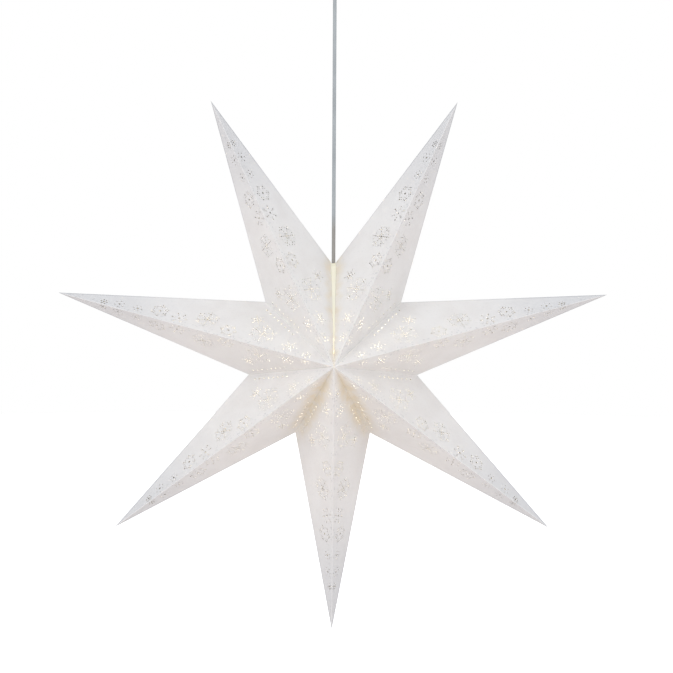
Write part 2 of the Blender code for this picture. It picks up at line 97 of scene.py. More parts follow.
class Value:
    """A number on a node's socket, which ordinary arithmetic turns into Math nodes."""

    def __init__(self, sheet: "NodeSheet", socket: NodeSocket) -> None:
        """Wraps one output socket of a node sheet."""
        self.sheet = sheet
        self.socket = socket

    def math(self, operation: str, *others: "Value | float") -> "Value":
        """Feeds this value, then the others, to one Math node."""
        inputs = dict(enumerate((self, *others)))
        return self.sheet.number("ShaderNodeMath", {"operation": operation}, inputs)

    def __add__(self, other: "Value | float") -> "Value":
        """self + other."""
        return self.math("ADD", other)

    __radd__ = __add__

    def __mul__(self, other: "Value | float") -> "Value":
        """self * other."""
        return self.math("MULTIPLY", other)

    __rmul__ = __mul__

    def __sub__(self, other: "Value | float") -> "Value":
        """self - other."""
        return self.math("SUBTRACT", other)

    def __rsub__(self, other: float) -> "Value":
        """other - self."""
        return self.math("MULTIPLY_ADD", -1.0, other)

    def __lt__(self, other: "Value | float") -> "Value":
        """1 where self is less than other."""
        return self.math("LESS_THAN", other)

    def __abs__(self) -> "Value":
        """The size of self."""
        return self.math("ABSOLUTE")

    def at_least(self, other: "Value | float") -> "Value":
        """The larger of the two."""
        return self.math("MAXIMUM", other)

    def fade(self, full: float, gone: float) -> "Value":
        """1 where self is at full, easing to 0 where it reaches gone.

        Args:
            full: The number up to which the result stays 1.
            gone: The number from which it is 0. It may be the smaller of the two.

        Returns:
            The eased value.
        """
        settings = {"interpolation_type": "SMOOTHSTEP", "clamp": True}
        low, high = min(full, gone), max(full, gone)
        at_low, at_high = (1.0, 0.0) if full < gone else (0.0, 1.0)
        inputs = {"Value": self, "From Min": low, "From Max": high,
                  "To Min": at_low, "To Max": at_high}
        return self.sheet.number("ShaderNodeMapRange", settings, inputs)


class NodeSheet:
    """The nodes of one material or world, written top down: values first, then the surface."""

    def __init__(self, owner: Material | World) -> None:
        """Clears the nodes of a material or a world.

        Args:
            owner: The material or world to write on.
        """
        self.owner = owner
        owner.use_nodes = True
        self.tree = owner.node_tree
        self.tree.nodes.clear()

    @classmethod
    def material(cls, name: str) -> "NodeSheet":
        """The sheet of a new material."""
        return cls(bpy.data.materials.new(name))

    def node(self, kind: str, settings: dict[str, Any] | None = None,
             inputs: dict[Any, Any] | None = None) -> Node:
        """Adds a node.

        Args:
            kind: The node's type.
            settings: Its properties, set before its sockets.
            inputs: Its sockets by name or number, each a number, a colour, a Value or a socket.

        Returns:
            The node.
        """
        made = self.tree.nodes.new(kind)
        for name, setting in (settings or {}).items():
            setattr(made, name, setting)
        for name, given in (inputs or {}).items():
            source = given.socket if isinstance(given, Value) else given
            if isinstance(source, NodeSocket):
                self.tree.links.new(source, made.inputs[name])
            elif isinstance(source, tuple) and len(source) == 3 and made.inputs[name].type == "RGBA":
                made.inputs[name].default_value = (*source, 1.0)
            else:
                made.inputs[name].default_value = source
        return made

    def number(self, kind: str, settings: dict[str, Any] | None = None,
               inputs: dict[Any, Any] | None = None, output: int | str = 0) -> Value:
        """Adds a node and wraps one of its outputs as a number."""
        return Value(self, self.node(kind, settings, inputs).outputs[output])

    def split(self, vector: NodeSocket) -> list[Value]:
        """The three numbers of a vector."""
        parts = self.node("ShaderNodeSeparateXYZ", inputs={0: vector})
        return [Value(self, output) for output in parts.outputs]

    def attribute(self, name: str) -> list[Value]:
        """The three numbers of a stored vector attribute."""
        stored = self.node("ShaderNodeAttribute", {"attribute_name": name})
        return self.split(stored.outputs["Vector"])

    def place(self) -> NodeSocket:
        """The point in the object's own frame, in metres."""
        return self.node("ShaderNodeTexCoord").outputs["Object"]

    def noise(self, per_metre: float, detail: float = 2.0, roughness: float = 0.5,
              stretch: tuple[float, float, float] = (1.0, 1.0, 1.0)) -> Value:
        """Smooth noise around 0.5.

        Args:
            per_metre: How many bumps it has to the metre.
            detail: How many finer layers it has.
            roughness: How strong the finer layers are.
            stretch: How dense it is along each axis.

        Returns:
            The noise.
        """
        spot = self.node("ShaderNodeVectorMath", {"operation": "MULTIPLY"},
                         {0: self.place(), 1: stretch})
        inputs = {"Vector": spot.outputs[0], "Scale": per_metre, "Detail": detail,
                  "Roughness": roughness}
        return self.number("ShaderNodeTexNoise", {}, inputs, "Fac")

    def specks(self, per_metre: float, share: float) -> Value:
        """1 on a share of small random cells, 0 on the rest.

        Args:
            per_metre: How many cells there are to the metre.
            share: The share of them that is 1.

        Returns:
            The mask.
        """
        cells = self.node("ShaderNodeTexVoronoi", {}, {"Vector": self.place(), "Scale": per_metre})
        parts = self.node("ShaderNodeSeparateColor", inputs={0: cells.outputs["Color"]})
        return Value(self, parts.outputs[0]) < share

    def tint(self, share: "Value | float", below: Any, above: Any) -> NodeSocket:
        """A colour that goes from below to above as share goes from 0 to 1."""
        settings = {"data_type": "RGBA", "blend_type": "MIX"}
        return self.node("ShaderNodeMix", settings, {0: share, 6: below, 7: above}).outputs[2]

    def bump(self, height: Value, depth: float) -> NodeSocket:
        """A normal bent by a height between 0 and 1, that stands for this depth in metres."""
        inputs = {"Height": height, "Distance": depth, "Strength": 1.0}
        return self.node("ShaderNodeBump", {}, inputs).outputs["Normal"]

    def principled(self, **inputs: Any) -> NodeSocket:
        """A Principled surface; underscores in the names stand for spaces."""
        named = {name.replace("_", " "): given for name, given in inputs.items()}
        return self.node("ShaderNodeBsdfPrincipled", {}, named).outputs[0]

    def blend(self, share: "Value | float", below: NodeSocket, above: NodeSocket) -> NodeSocket:
        """A surface that goes from below to above as share goes from 0 to 1."""
        return self.node("ShaderNodeMixShader", {}, {0: share, 1: below, 2: above}).outputs[0]

    def seen_or_thrown(self, seen: NodeSocket, thrown: NodeSocket) -> NodeSocket:
        """One surface for the eye, and another for the light that it throws."""
        return self.blend(self.number("ShaderNodeLightPath", output="Is Camera Ray"), thrown, seen)

    def finish(self, surface: NodeSocket,
               output: str = "ShaderNodeOutputMaterial") -> Material | World:
        """Ends the sheet with this surface."""
        self.node(output, {}, {"Surface": surface})
        return self.owner


# --- Finishes -------------------------------------------------------------------------------------


def scaled(colour: Colour, share: float) -> Colour:
    """The colour at this share of its brightness."""
    return tuple(part * share for part in colour)


@dataclass(frozen=True)
class FlakePrint:
    """A silver snowflake on a facet: its place along and across from the ridge, and its reach."""

    along: float
    across: float
    reach: float


@dataclass(frozen=True)
class PaperFinish:
    """White card with a faint silver print, fibres, lighter ridges, painted light along the valley
    folds, painted shade at the tips and outer edges, painted warm shade by the seam and the lowest
    valleys, and light coming through it.
    """

    name: str
    colour: Colour = (0.825, 0.816, 0.810)
    shade: Colour = (0.790, 0.775, 0.766)
    # painted shade: the cool grey of the tips, where less of the lamp's glow comes through
    painted_tip_shade: Colour = (0.590, 0.610, 0.645)
    silver: Colour = (0.56, 0.57, 0.585)
    # painted warm shade: the tan by the seam and the lowest valleys, shade warmed by the lamp's glow
    painted_warm_shade: Colour = (0.79, 0.70, 0.54)
    crease: Colour = (0.88, 0.88, 0.88)
    # painted light: lighter paper along the valley folds, against the shade in the fold
    fold: Colour = (0.96, 0.95, 0.93)
    # painted shade: the dark grey of the outer edges
    rim: Colour = (0.43, 0.445, 0.475)
    through: Colour = (0.95, 0.88, 0.78)
    see_through: float = 0.10
    printed: bool = True
    flakes: tuple[FlakePrint, ...] = ()
    arm_half: float = 0.35 * MM
    ink_edge: float = 0.4 * MM
    twig_slope: float = 0.7
    twig_ends: tuple[float, float] = (0.26, 0.32)
    silver_cover: float = 0.24
    glitter_cover: float = 0.6
    glitter_share: float = 0.075
    glitter_cells: float = 680.0
    tip_shade_from: float = 0.88
    tip_shade_to: float = 0.46
    tip_shade_cover: float = 0.54
    crease_cover: float = 0.5
    fold_light_cover: float = 0.3
    rim_cover: float = 0.24
    tip_rim_cover: float = 0.62

    def flake_mask(self, along: Value, across: Value, flake: FlakePrint) -> Value:
        """The thin arms and side twigs of one printed snowflake.

        Args:
            along: How far each spot is along the ridge.
            across: How far it is from the ridge.
            flake: The snowflake.

        Returns:
            1 on the snowflake, 0 elsewhere.
        """
        du = along - flake.along
        dv = across - flake.across
        radius = (du * du + dv * dv).math("SQRT")
        sector = math.pi / 3
        turn = dv.math("ARCTAN2", du).math("PINGPONG", sector / 2)
        off_arm = radius * turn.math("SINE")
        on_arm = radius * turn.math("COSINE")
        arm = off_arm.fade(self.arm_half, self.arm_half + self.ink_edge)
        half_pitch = flake.reach / 8
        row = (on_arm - off_arm * self.twig_slope).math("PINGPONG", half_pitch)
        start, end = (share * flake.reach for share in self.twig_ends)
        twigs = abs(row - half_pitch).fade(0.3 * MM, 0.7 * MM) * off_arm.fade(start, end)
        return arm.at_least(twigs) * radius.fade(flake.reach, flake.reach + 1.0 * MM)

    def print_on(self, sheet: NodeSheet, colour: Any) -> tuple[Any, Value]:
        """Adds the silver print, the lighter ridges, and the painted light and shade: light along the
        valley folds, cool shade at the tips, dark outer edges, and warm shade by the seam and the
        lowest valleys.

        Args:
            sheet: The material's nodes.
            colour: The bare paper's colour.

        Returns:
            The printed colour, and how much silver there is.
        """
        # the third number is the strength of the painted warm shade
        along, across, painted_warm_shade = sheet.attribute("facet")
        to_edge, to_valley, reach = sheet.attribute("edges")
        silver = self.flake_mask(along, across, self.flakes[0])
        for flake in self.flakes[1:]:
            silver = silver.at_least(self.flake_mask(along, across, flake))
        band = across.fade(1.5 * MM, 13.0 * MM).at_least(to_valley.fade(1.0 * MM, 9.0 * MM) * 0.4)
        glitter = sheet.specks(self.glitter_cells, self.glitter_share) * (band * 0.85 + 0.15)
        worn = sheet.noise(210.0, 2.0)
        silver = silver * worn.fade(0.60, 0.34) * self.silver_cover
        silver = silver.at_least(glitter * self.glitter_cover)
        # painted shade, cool and darker towards the tips
        tip = reach.fade(self.tip_shade_from, self.tip_shade_to)
        ridge = across.fade(0.3 * MM, 1.3 * MM)
        # painted light along the valley folds
        valley = to_valley.fade(0.3 * MM, 3.0 * MM)
        # painted shade along the outer edges, strongest near the tips
        rim = to_edge.fade(0.2 * MM, 1.9 * MM) * (tip * self.tip_rim_cover + self.rim_cover)
        for share, above in ((tip * self.tip_shade_cover, self.painted_tip_shade), (silver, self.silver),
                             (ridge * self.crease_cover, self.crease),
                             (valley * self.fold_light_cover, self.fold), (rim, self.rim)):
            colour = sheet.tint(share, colour, above)
        # painted warm shade by the seam and the lowest valleys, made patchy
        patchy = sheet.noise(95.0, 4.0, 0.65).fade(0.60, 0.40) * 0.55 + 0.45
        return sheet.tint(painted_warm_shade * patchy, colour, self.painted_warm_shade), silver

    def build(self) -> Material:
        """Writes the material's nodes.

        Returns:
            The material.
        """
        sheet = NodeSheet.material(self.name)
        mottle = sheet.noise(38.0, 4.0, 0.6)
        colour = sheet.tint(mottle.fade(0.70, 0.34), self.colour, self.shade)
        fibre = sheet.noise(900.0, 3.0, 0.7)
        roughness = 0.58 + fibre * 0.25
        metallic: Value | float = 0.0
        if self.printed:
            colour, silver = self.print_on(sheet, colour)
            metallic = silver * 0.5
            roughness = roughness - silver * 0.3
        normal = sheet.bump(fibre * 0.7 + mottle * 0.3, 0.12 * MM)
        front = sheet.principled(Base_Color=colour, Roughness=roughness, Metallic=metallic,
                                 Normal=normal, Specular_IOR_Level=0.35, Sheen_Weight=0.15)
        behind = sheet.node("ShaderNodeBsdfTranslucent", {}, {"Color": self.through})
        return sheet.finish(sheet.blend(self.see_through, front, behind.outputs[0]))


@dataclass(frozen=True)
class PlasticFinish:
    """Moulded plastic: a satin skin with the faintest orange peel and dust-dulled patches."""

    name: str
    colour: Colour
    roughness: float = 0.35
    coat: float = 0.0

    def build(self) -> Material:
        """Writes the material's nodes.

        Returns:
            The material.
        """
        sheet = NodeSheet.material(self.name)
        peel = sheet.noise(700.0, 2.0)
        dust = sheet.noise(30.0, 4.0, 0.6)
        darker = scaled(self.colour, 0.93)
        colour = sheet.tint(dust.fade(0.70, 0.40), self.colour, darker)
        roughness = dust * 0.16 + (self.roughness - 0.08)
        return sheet.finish(sheet.principled(
            Base_Color=colour, Roughness=roughness, Coat_Weight=self.coat,
            Normal=sheet.bump(peel, 0.03 * MM)))


@dataclass(frozen=True)
class CordFinish:
    """A soft plastic sheath, a little grey with handling, with painted warm shade near the star."""

    name: str
    colour: Colour = (0.37, 0.405, 0.425)
    # the colour of the painted warm shade on the cord just above the star
    warm: Colour = (0.30, 0.285, 0.26)
    cord_shade_from: float = 0.0
    cord_shade_to: float = 0.0

    def build(self) -> Material:
        """Writes the material's nodes.

        Returns:
            The material.
        """
        sheet = NodeSheet.material(self.name)
        grime = sheet.noise(60.0, 3.0, 0.6, (1.0, 1.0, 0.35))
        darker = scaled(self.colour, 0.86)
        colour = sheet.tint(grime.fade(0.72, 0.36), self.colour, darker)
        height = sheet.split(sheet.place())[2]
        # painted warm shade on the cord just above the star
        colour = sheet.tint(height.fade(self.cord_shade_from, self.cord_shade_to) * 0.85, colour, self.warm)
        drawn = sheet.noise(1500.0, 1.0, 0.5, (1.0, 1.0, 0.08))
        return sheet.finish(sheet.principled(
            Base_Color=colour, Roughness=grime * 0.2 + 0.34, Normal=sheet.bump(drawn, 0.03 * MM)))


@dataclass(frozen=True)
class MetalFinish:
    """Drawn or plated metal: fine streaks along one axis, dulled in patches."""

    name: str
    colour: Colour
    roughness: float = 0.28
    dull: Colour = (0.35, 0.33, 0.30)

    def build(self) -> Material:
        """Writes the material's nodes.

        Returns:
            The material.
        """
        sheet = NodeSheet.material(self.name)
        streak = sheet.noise(1600.0, 2.0, 0.6, (1.0, 1.0, 0.1))
        tarnish = sheet.noise(140.0, 4.0, 0.65)
        colour = sheet.tint(tarnish.fade(0.74, 0.50) * 0.5, self.colour, self.dull)
        roughness = tarnish * 0.2 + streak * 0.08 + (self.roughness - 0.12)
        return sheet.finish(sheet.principled(
            Base_Color=colour, Roughness=roughness, Metallic=1.0,
            Normal=sheet.bump(streak, 0.02 * MM)))


@dataclass(frozen=True)
class GlowFinish:
    """Frosted glass or a hot wire: a warm surface that gives light."""

    name: str
    colour: Colour
    glow: Colour
    strength: float
    roughness: float = 0.3

    def build(self) -> Material:
        """Writes the material's nodes.

        Returns:
            The material.
        """
        sheet = NodeSheet.material(self.name)
        frost = sheet.noise(1100.0, 2.0)
        uneven = sheet.noise(90.0, 2.0)
        dimmer = scaled(self.glow, 0.8)
        glow = sheet.tint(uneven, self.glow, dimmer)
        return sheet.finish(sheet.principled(
            Base_Color=self.colour, Roughness=frost * 0.2 + (self.roughness - 0.1),
            Emission_Color=glow, Emission_Strength=self.strength,
            Normal=sheet.bump(frost, 0.02 * MM)))


@dataclass(frozen=True)
class ClothFinish:
    """The fuzzy loops or short bristles of fastening tape."""

    name: str
    colour: Colour
    per_metre: float = 1600.0

    def build(self) -> Material:
        """Writes the material's nodes.

        Returns:
            The material.
        """
        sheet = NodeSheet.material(self.name)
        pile = sheet.number("ShaderNodeTexVoronoi", {},
                            {"Vector": sheet.place(), "Scale": self.per_metre}, "Distance")
        darker = scaled(self.colour, 0.7)
        colour = sheet.tint(pile.fade(0.15, 0.7), darker, self.colour)
        return sheet.finish(sheet.principled(
            Base_Color=colour, Roughness=pile * 0.1 + 0.82, Sheen_Weight=0.4,
            Normal=sheet.bump(1.0 - pile, 0.25 * MM)))


class Finish(Enum):
    """The plain finishes, each built once when it is first asked for."""

    HOLDER = PlasticFinish("white_holder_plastic", (0.80, 0.79, 0.76), 0.34)
    CUP = PlasticFinish("white_cup_plastic", (0.82, 0.82, 0.80), 0.28, 0.2)
    RELIEF = PlasticFinish("grey_relief_rubber", (0.56, 0.57, 0.58), 0.55)
    STEATITE = PlasticFinish("steatite", (0.78, 0.75, 0.69), 0.55)
    VITRITE = PlasticFinish("black_vitrite", (0.03, 0.025, 0.035), 0.18)
    BRASS = MetalFinish("brass", (0.78, 0.58, 0.27))
    NICKEL = MetalFinish("nickel_plate", (0.68, 0.67, 0.64), 0.24)
    ZINC = MetalFinish("zinc_plate", (0.62, 0.64, 0.67), 0.38, (0.40, 0.41, 0.40))
    HOOKS = ClothFinish("hook_tape", (0.80, 0.80, 0.79), 1300.0)
    LOOPS = ClothFinish("loop_tape", (0.84, 0.84, 0.82), 2100.0)
    BULB = GlowFinish("frosted_bulb", (0.90, 0.86, 0.78), (1.0, 0.80, 0.52), 1.6)
    WIRE = GlowFinish("hot_wire", (0.9, 0.7, 0.4), (1.0, 0.72, 0.38), 6.0)

    def material(self) -> Material:
        """The finish's material, made on first use."""
        return bpy.data.materials.get(self.value.name) or self.value.build()


# --- Pieces ---------------------------------------------------------------------------------------


def in_scene(name: str, data: ID) -> Object:
    """Puts something new in the scene.

    Args:
        name: The object's name.
        data: Its mesh, curve, light or camera.

    Returns:
        The object.
    """
    made = bpy.data.objects.new(name, data)
    bpy.context.scene.collection.objects.link(made)
    return made


def mesh_from(name: str, bm: BMesh, finish: Material | None = None) -> Mesh:
    """Ends a bmesh as a mesh.

    Args:
        name: The mesh's name.
        bm: The bmesh, which is freed.
        finish: The mesh's material.

    Returns:
        The mesh.
    """
    mesh = bpy.data.meshes.new(name)
    bm.to_mesh(mesh)
    bm.free()
    if finish is not None:
        mesh.materials.append(finish)
    return mesh


def add_piece(name: str, mesh: Mesh, body: str, replaced: Sequence[str] = (),
              smooth_below: float | None = None) -> Object:
    """Puts a mesh in the scene as a piece that rides on a body.

    Args:
        name: The piece's name.
        mesh: Its mesh, in the frame's own place.
        body: The body that it moves with.
        replaced: The plain solids that it stands for.
        smooth_below: Edges flatter than this many degrees are shaded smooth.

    Returns:
        The object.
    """
    made = in_scene(name, mesh)
    if smooth_below is not None:
        mesh.shade_smooth()
        mesh.set_sharp_from_angle(angle=math.radians(smooth_below))
    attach(made, body)
    if replaced:
        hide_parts(*replaced)
    LOG.info("%s: %d faces on %s", name, len(mesh.polygons), body)
    return made


def dress_nodes(finish: Material, *names: str) -> None:
    """Gives carried-over solids their finish.

    Args:
        finish: The material.
        names: The solids.
    """
    for name in names:
        mesh = frame["nodes"][name].data
        mesh.materials.clear()
        mesh.materials.append(finish)
        LOG.info("%s: dressed", name)


def lathe(profile: Outline, segments: int) -> BMesh:
    """Turns a closed outline about Z.

    Args:
        profile: (radius, height) pairs in millimetres; a radius of 0 lies on the axis.
        segments: How many sides the turned shape has.

    Returns:
        The turned shape, in metres.
    """
    bm = bmesh.new()
    rings = []
    for radius, height in profile:
        count = 1 if radius == 0 else segments
        angles = [2 * math.pi * step / segments for step in range(count)]
        rings.append([bm.verts.new(Vector((radius * math.cos(a), radius * math.sin(a), height)) * MM)
                      for a in angles])
    for first, second in zip(rings, rings[1:] + rings[:1]):
        for step in range(segments):
            corners = [first[step % len(first)], first[(step + 1) % len(first)],
                       second[(step + 1) % len(second)], second[step % len(second)]]
            corners = list(dict.fromkeys(corners))
            if len(corners) > 2:
                bm.faces.new(corners)
    bmesh.ops.recalc_face_normals(bm, faces=bm.faces)
    return bm


def turned_piece(node: str, profile: Outline, finish: Finish, body: str,
                 place: Matrix | None = None, segments: int = 96, smooth_below: float = SMOOTH_TURNED,
                 kind: str = "piece") -> Object:
    """Puts a turned piece in the place of a plain solid.

    Args:
        node: The plain solid that it stands for.
        profile: Its outline, as lathe takes it.
        finish: What it is made of.
        body: The body that it moves with.
        place: The move from its own axis to the frame.
        segments: How many sides it has.
        smooth_below: Edges flatter than this many degrees are shaded smooth.
        kind: What its name ends in.

    Returns:
        The object.
    """
    bm = lathe(profile, segments)
    bmesh.ops.transform(bm, matrix=place or Matrix(), verts=bm.verts)
    mesh = mesh_from(node, bm, finish.material())
    return add_piece(f"{node}_{kind}", mesh, body, [node], smooth_below)


def ribs(start: float, pitch: float, count: int, shape: Outline) -> Outline:
    """One rib's outline repeated along the axis, a pitch apart."""
    return [(radius, start + number * pitch + height)
            for number in range(count) for radius, height in shape]


def arc(centre: tuple[float, float], radius: float, start: float, end: float, steps: int) -> Outline:
    """Points of an arc, its angles in degrees, as (radius, height) pairs."""
    angles = [math.radians(start + (end - start) * step / steps) for step in range(steps + 1)]
    return [(centre[0] + radius * math.cos(a), centre[1] + radius * math.sin(a)) for a in angles]


def unit(vector: np.ndarray) -> np.ndarray:
    """The vector at length 1."""
    return vector / np.linalg.norm(vector)


# --- The paper star -------------------------------------------------------------------------------


@dataclass(frozen=True)
class StarForm:
    """The star's size and place, read from the frame."""

    centre: np.ndarray
    radius: float
    valley_radius: float
    half_depth: float
    points: int = 7
    seam_valley_radius: float = 103.0 * MM
    glue_gap: float = 0.3 * MM
    fold_gap: float = 0.08 * MM
    seam_spread: float = math.radians(1.6)
    ridge_start: float = 3.0 * MM
    folded: float = 0.03

    @classmethod
    def from_frame(cls) -> "StarForm":
        """Reads the star's centre from its fold joint and its sizes from the bottom point's box.

        Returns:
            The star's form.
        """
        fold = next(j for j in frame["record"]["behaviour"]["joints"] if j["name"] == "fold_left")
        centre = np.array(fold["pos_m"])
        low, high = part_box("paper_point_bottom")
        half_pitch = math.pi / cls.points
        radius = centre[2] - low[2]
        valley = (high[0] + cls.glue_gap / 2) / math.sin(half_pitch)
        return cls(centre=centre, radius=radius, half_depth=high[1] / (1 - cls.ridge_start / radius),
                   valley_radius=valley)

    @property
    def half_pitch(self) -> float:
        """Half the angle from one point to the next."""
        return math.pi / self.points

    def angle(self, index: int) -> float:
        """A point's own direction, counted counter-clockwise from the bottom point."""
        return math.radians(270) + index * 2 * self.half_pitch

    def radial(self, angle: float) -> np.ndarray:
        """The direction at this angle, counter-clockwise as seen from the front."""
        return np.array([math.cos(angle), 0.0, math.sin(angle)])

    def tangent(self, angle: float) -> np.ndarray:
        """The direction in which that angle grows."""
        return np.array([-math.sin(angle), 0.0, math.cos(angle)])

    def flatten(self, piece: Object, angle: float, joint: str) -> None:
        """Gives a piece its own copy of its mesh."""
        tuple(self.tangent(angle))
        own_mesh(piece)


@dataclass(frozen=True)
class PunchedFlake:
    """A snowflake made of round holes: its centre, its reach, and how many holes each arm has."""

    along: float
    across: float
    reach: float
    rings: int = 4
    turn: float = 0.0
    eye: float = 1.25 * MM
    hole: float = 0.95 * MM
    small_hole: float = 0.72 * MM
    branch: float = math.radians(17)
    branch_reach: float = 0.86

    def holes(self) -> list[tuple[float, float, float]]:
        """Lays out the flake's eye, its six arms and the holes beside their ends.

        Returns:
            Each hole's along, across and radius.
        """
        found = [(0.0, 0.0, self.eye)]
        for arm in range(6):
            angle = self.turn + arm * math.pi / 3
            for ring in range(1, self.rings + 1):
                size = self.hole if ring % 2 else self.small_hole
                found.append((self.reach * ring / self.rings, angle, size))
            if self.rings > 2:
                beside = self.reach * self.branch_reach
                found += [(beside, angle + side * self.branch, self.small_hole) for side in (-1, 1)]
        return [(self.along + reach * math.cos(angle), self.across + reach * math.sin(angle), size)
                for reach, angle, size in found]


@dataclass(frozen=True)
class PunchPattern:
    """All the holes of one facet: snowflakes down its length, and a row beside its valley."""

    flakes: tuple[PunchedFlake, ...] = (
        PunchedFlake(34.0 * MM, 7.5 * MM, 4.6 * MM, 2, math.pi / 6),
        PunchedFlake(56.0 * MM, 14.0 * MM, 8.0 * MM, 2),
        PunchedFlake(90.0 * MM, 22.0 * MM, 14.5 * MM, 4, math.pi / 6),
        PunchedFlake(104.0 * MM, 43.0 * MM, 7.0 * MM, 2),
        PunchedFlake(126.0 * MM, 13.0 * MM, 8.5 * MM, 3),
        PunchedFlake(154.0 * MM, 22.0 * MM, 12.5 * MM, 4, math.pi / 6),
        PunchedFlake(183.0 * MM, 12.0 * MM, 8.0 * MM, 3),
        PunchedFlake(207.0 * MM, 15.5 * MM, 9.0 * MM, 3, math.pi / 6),
        PunchedFlake(231.0 * MM, 9.5 * MM, 6.6 * MM, 3),
        PunchedFlake(252.0 * MM, 8.5 * MM, 5.2 * MM, 2, math.pi / 6),
        PunchedFlake(269.0 * MM, 5.4 * MM, 3.2 * MM, 1),
    )
    row_pitch: float = 7.0 * MM
    row_inset: float = 6.5 * MM
    row_share: tuple[float, float] = (0.52, 0.90)
    row_radius: float = 0.95 * MM
    margin: float = 1.6 * MM
    bridge: float = 0.9 * MM

    def holes(self, facet: "Facet", rowed: bool) -> list[tuple[float, float, float]]:
        """The holes that fit on a facet, none touching another.

        Args:
            facet: The facet's flat layout.
            rowed: Whether it has the row beside its valley.

        Returns:
            Each hole's along, across and radius.
        """
        wanted = [hole for flake in self.flakes for hole in flake.holes()]
        wanted += self.valley_row(facet) if rowed else []
        kept: list[tuple[float, float, float]] = []
        for along, across, radius in wanted:
            room = min(across, facet.valley_distance(along, across),
                       facet.edge_distance(along, across))
            clear = all(math.hypot(along - a, across - b) > radius + r + self.bridge
                        for a, b, r in kept)
            if room > radius + self.margin and clear:
                kept.append((along, across, radius))
        return kept

    def valley_row(self, facet: "Facet") -> list[tuple[float, float, float]]:
        """Evenly spaced holes beside the valley fold, in the outer half of its length.

        Args:
            facet: The facet's flat layout.

        Returns:
            Each hole's along, across and radius.
        """
        inward = np.array([facet.valley[1], -facet.valley[0]]) / np.linalg.norm(facet.valley)
        start, end = self.row_share
        count = int(np.linalg.norm(facet.valley) * (end - start) / self.row_pitch)
        shares = np.linspace(start, end, count + 1)
        return [(*(facet.valley * share + inward * self.row_inset).tolist(), self.row_radius)
                for share in shares]


class Facet:
    """One of a point's four faces, laid out flat: along its ridge, and across from the ridge."""

    def __init__(self, apex: np.ndarray, tip: np.ndarray, valley: np.ndarray,
                 inside: np.ndarray) -> None:
        """Lays out the facet from its three corners.

        Args:
            apex: The corner at the star's middle.
            tip: The corner at the point's tip.
            valley: The corner where the valley meets the outer edge.
            inside: Any spot in the hollow.
        """
        self.apex = apex
        self.along = unit(tip - apex)
        run = valley - apex
        self.across = unit(run - (run @ self.along) * self.along)
        self.tip = np.array([np.linalg.norm(tip - apex), 0.0])
        self.valley = np.array([run @ self.along, run @ self.across])
        self.outward = unit(np.cross(self.along, self.across))
        if self.outward @ (apex - inside) < 0:
            self.outward = -self.outward

    def place(self, flat: np.ndarray) -> np.ndarray:
        """Flat coordinates as positions."""
        return self.apex + np.outer(flat[:, 0], self.along) + np.outer(flat[:, 1], self.across)

    def valley_distance(self, along: Any, across: Any) -> Any:
        """How far a spot is from the valley fold."""
        normal = unit(np.array([self.valley[1], -self.valley[0]]))
        return along * normal[0] + across * normal[1]

    def edge_distance(self, along: Any, across: Any) -> Any:
        """How far a spot is from the outer edge.

        Args:
            along: Its distance along the ridge.
            across: Its distance from the ridge.

        Returns:
            The distance.
        """
        run = self.valley - self.tip
        normal = unit(np.array([run[1], -run[0]]))
        normal = normal if normal @ -self.tip > 0 else -normal
        return (along - self.tip[0]) * normal[0] + across * normal[1]


@dataclass
class FlatSheet:
    """A facet cut to shape and punched, as flat points and triangles."""

    points: np.ndarray
    triangles: np.ndarray


@dataclass
class SheetPart:
    """A facet or a flap in place: which finish it has, and the numbers stored at its points."""

    points: np.ndarray
    triangles: np.ndarray
    finish: int
    facet: np.ndarray
    edges: np.ndarray


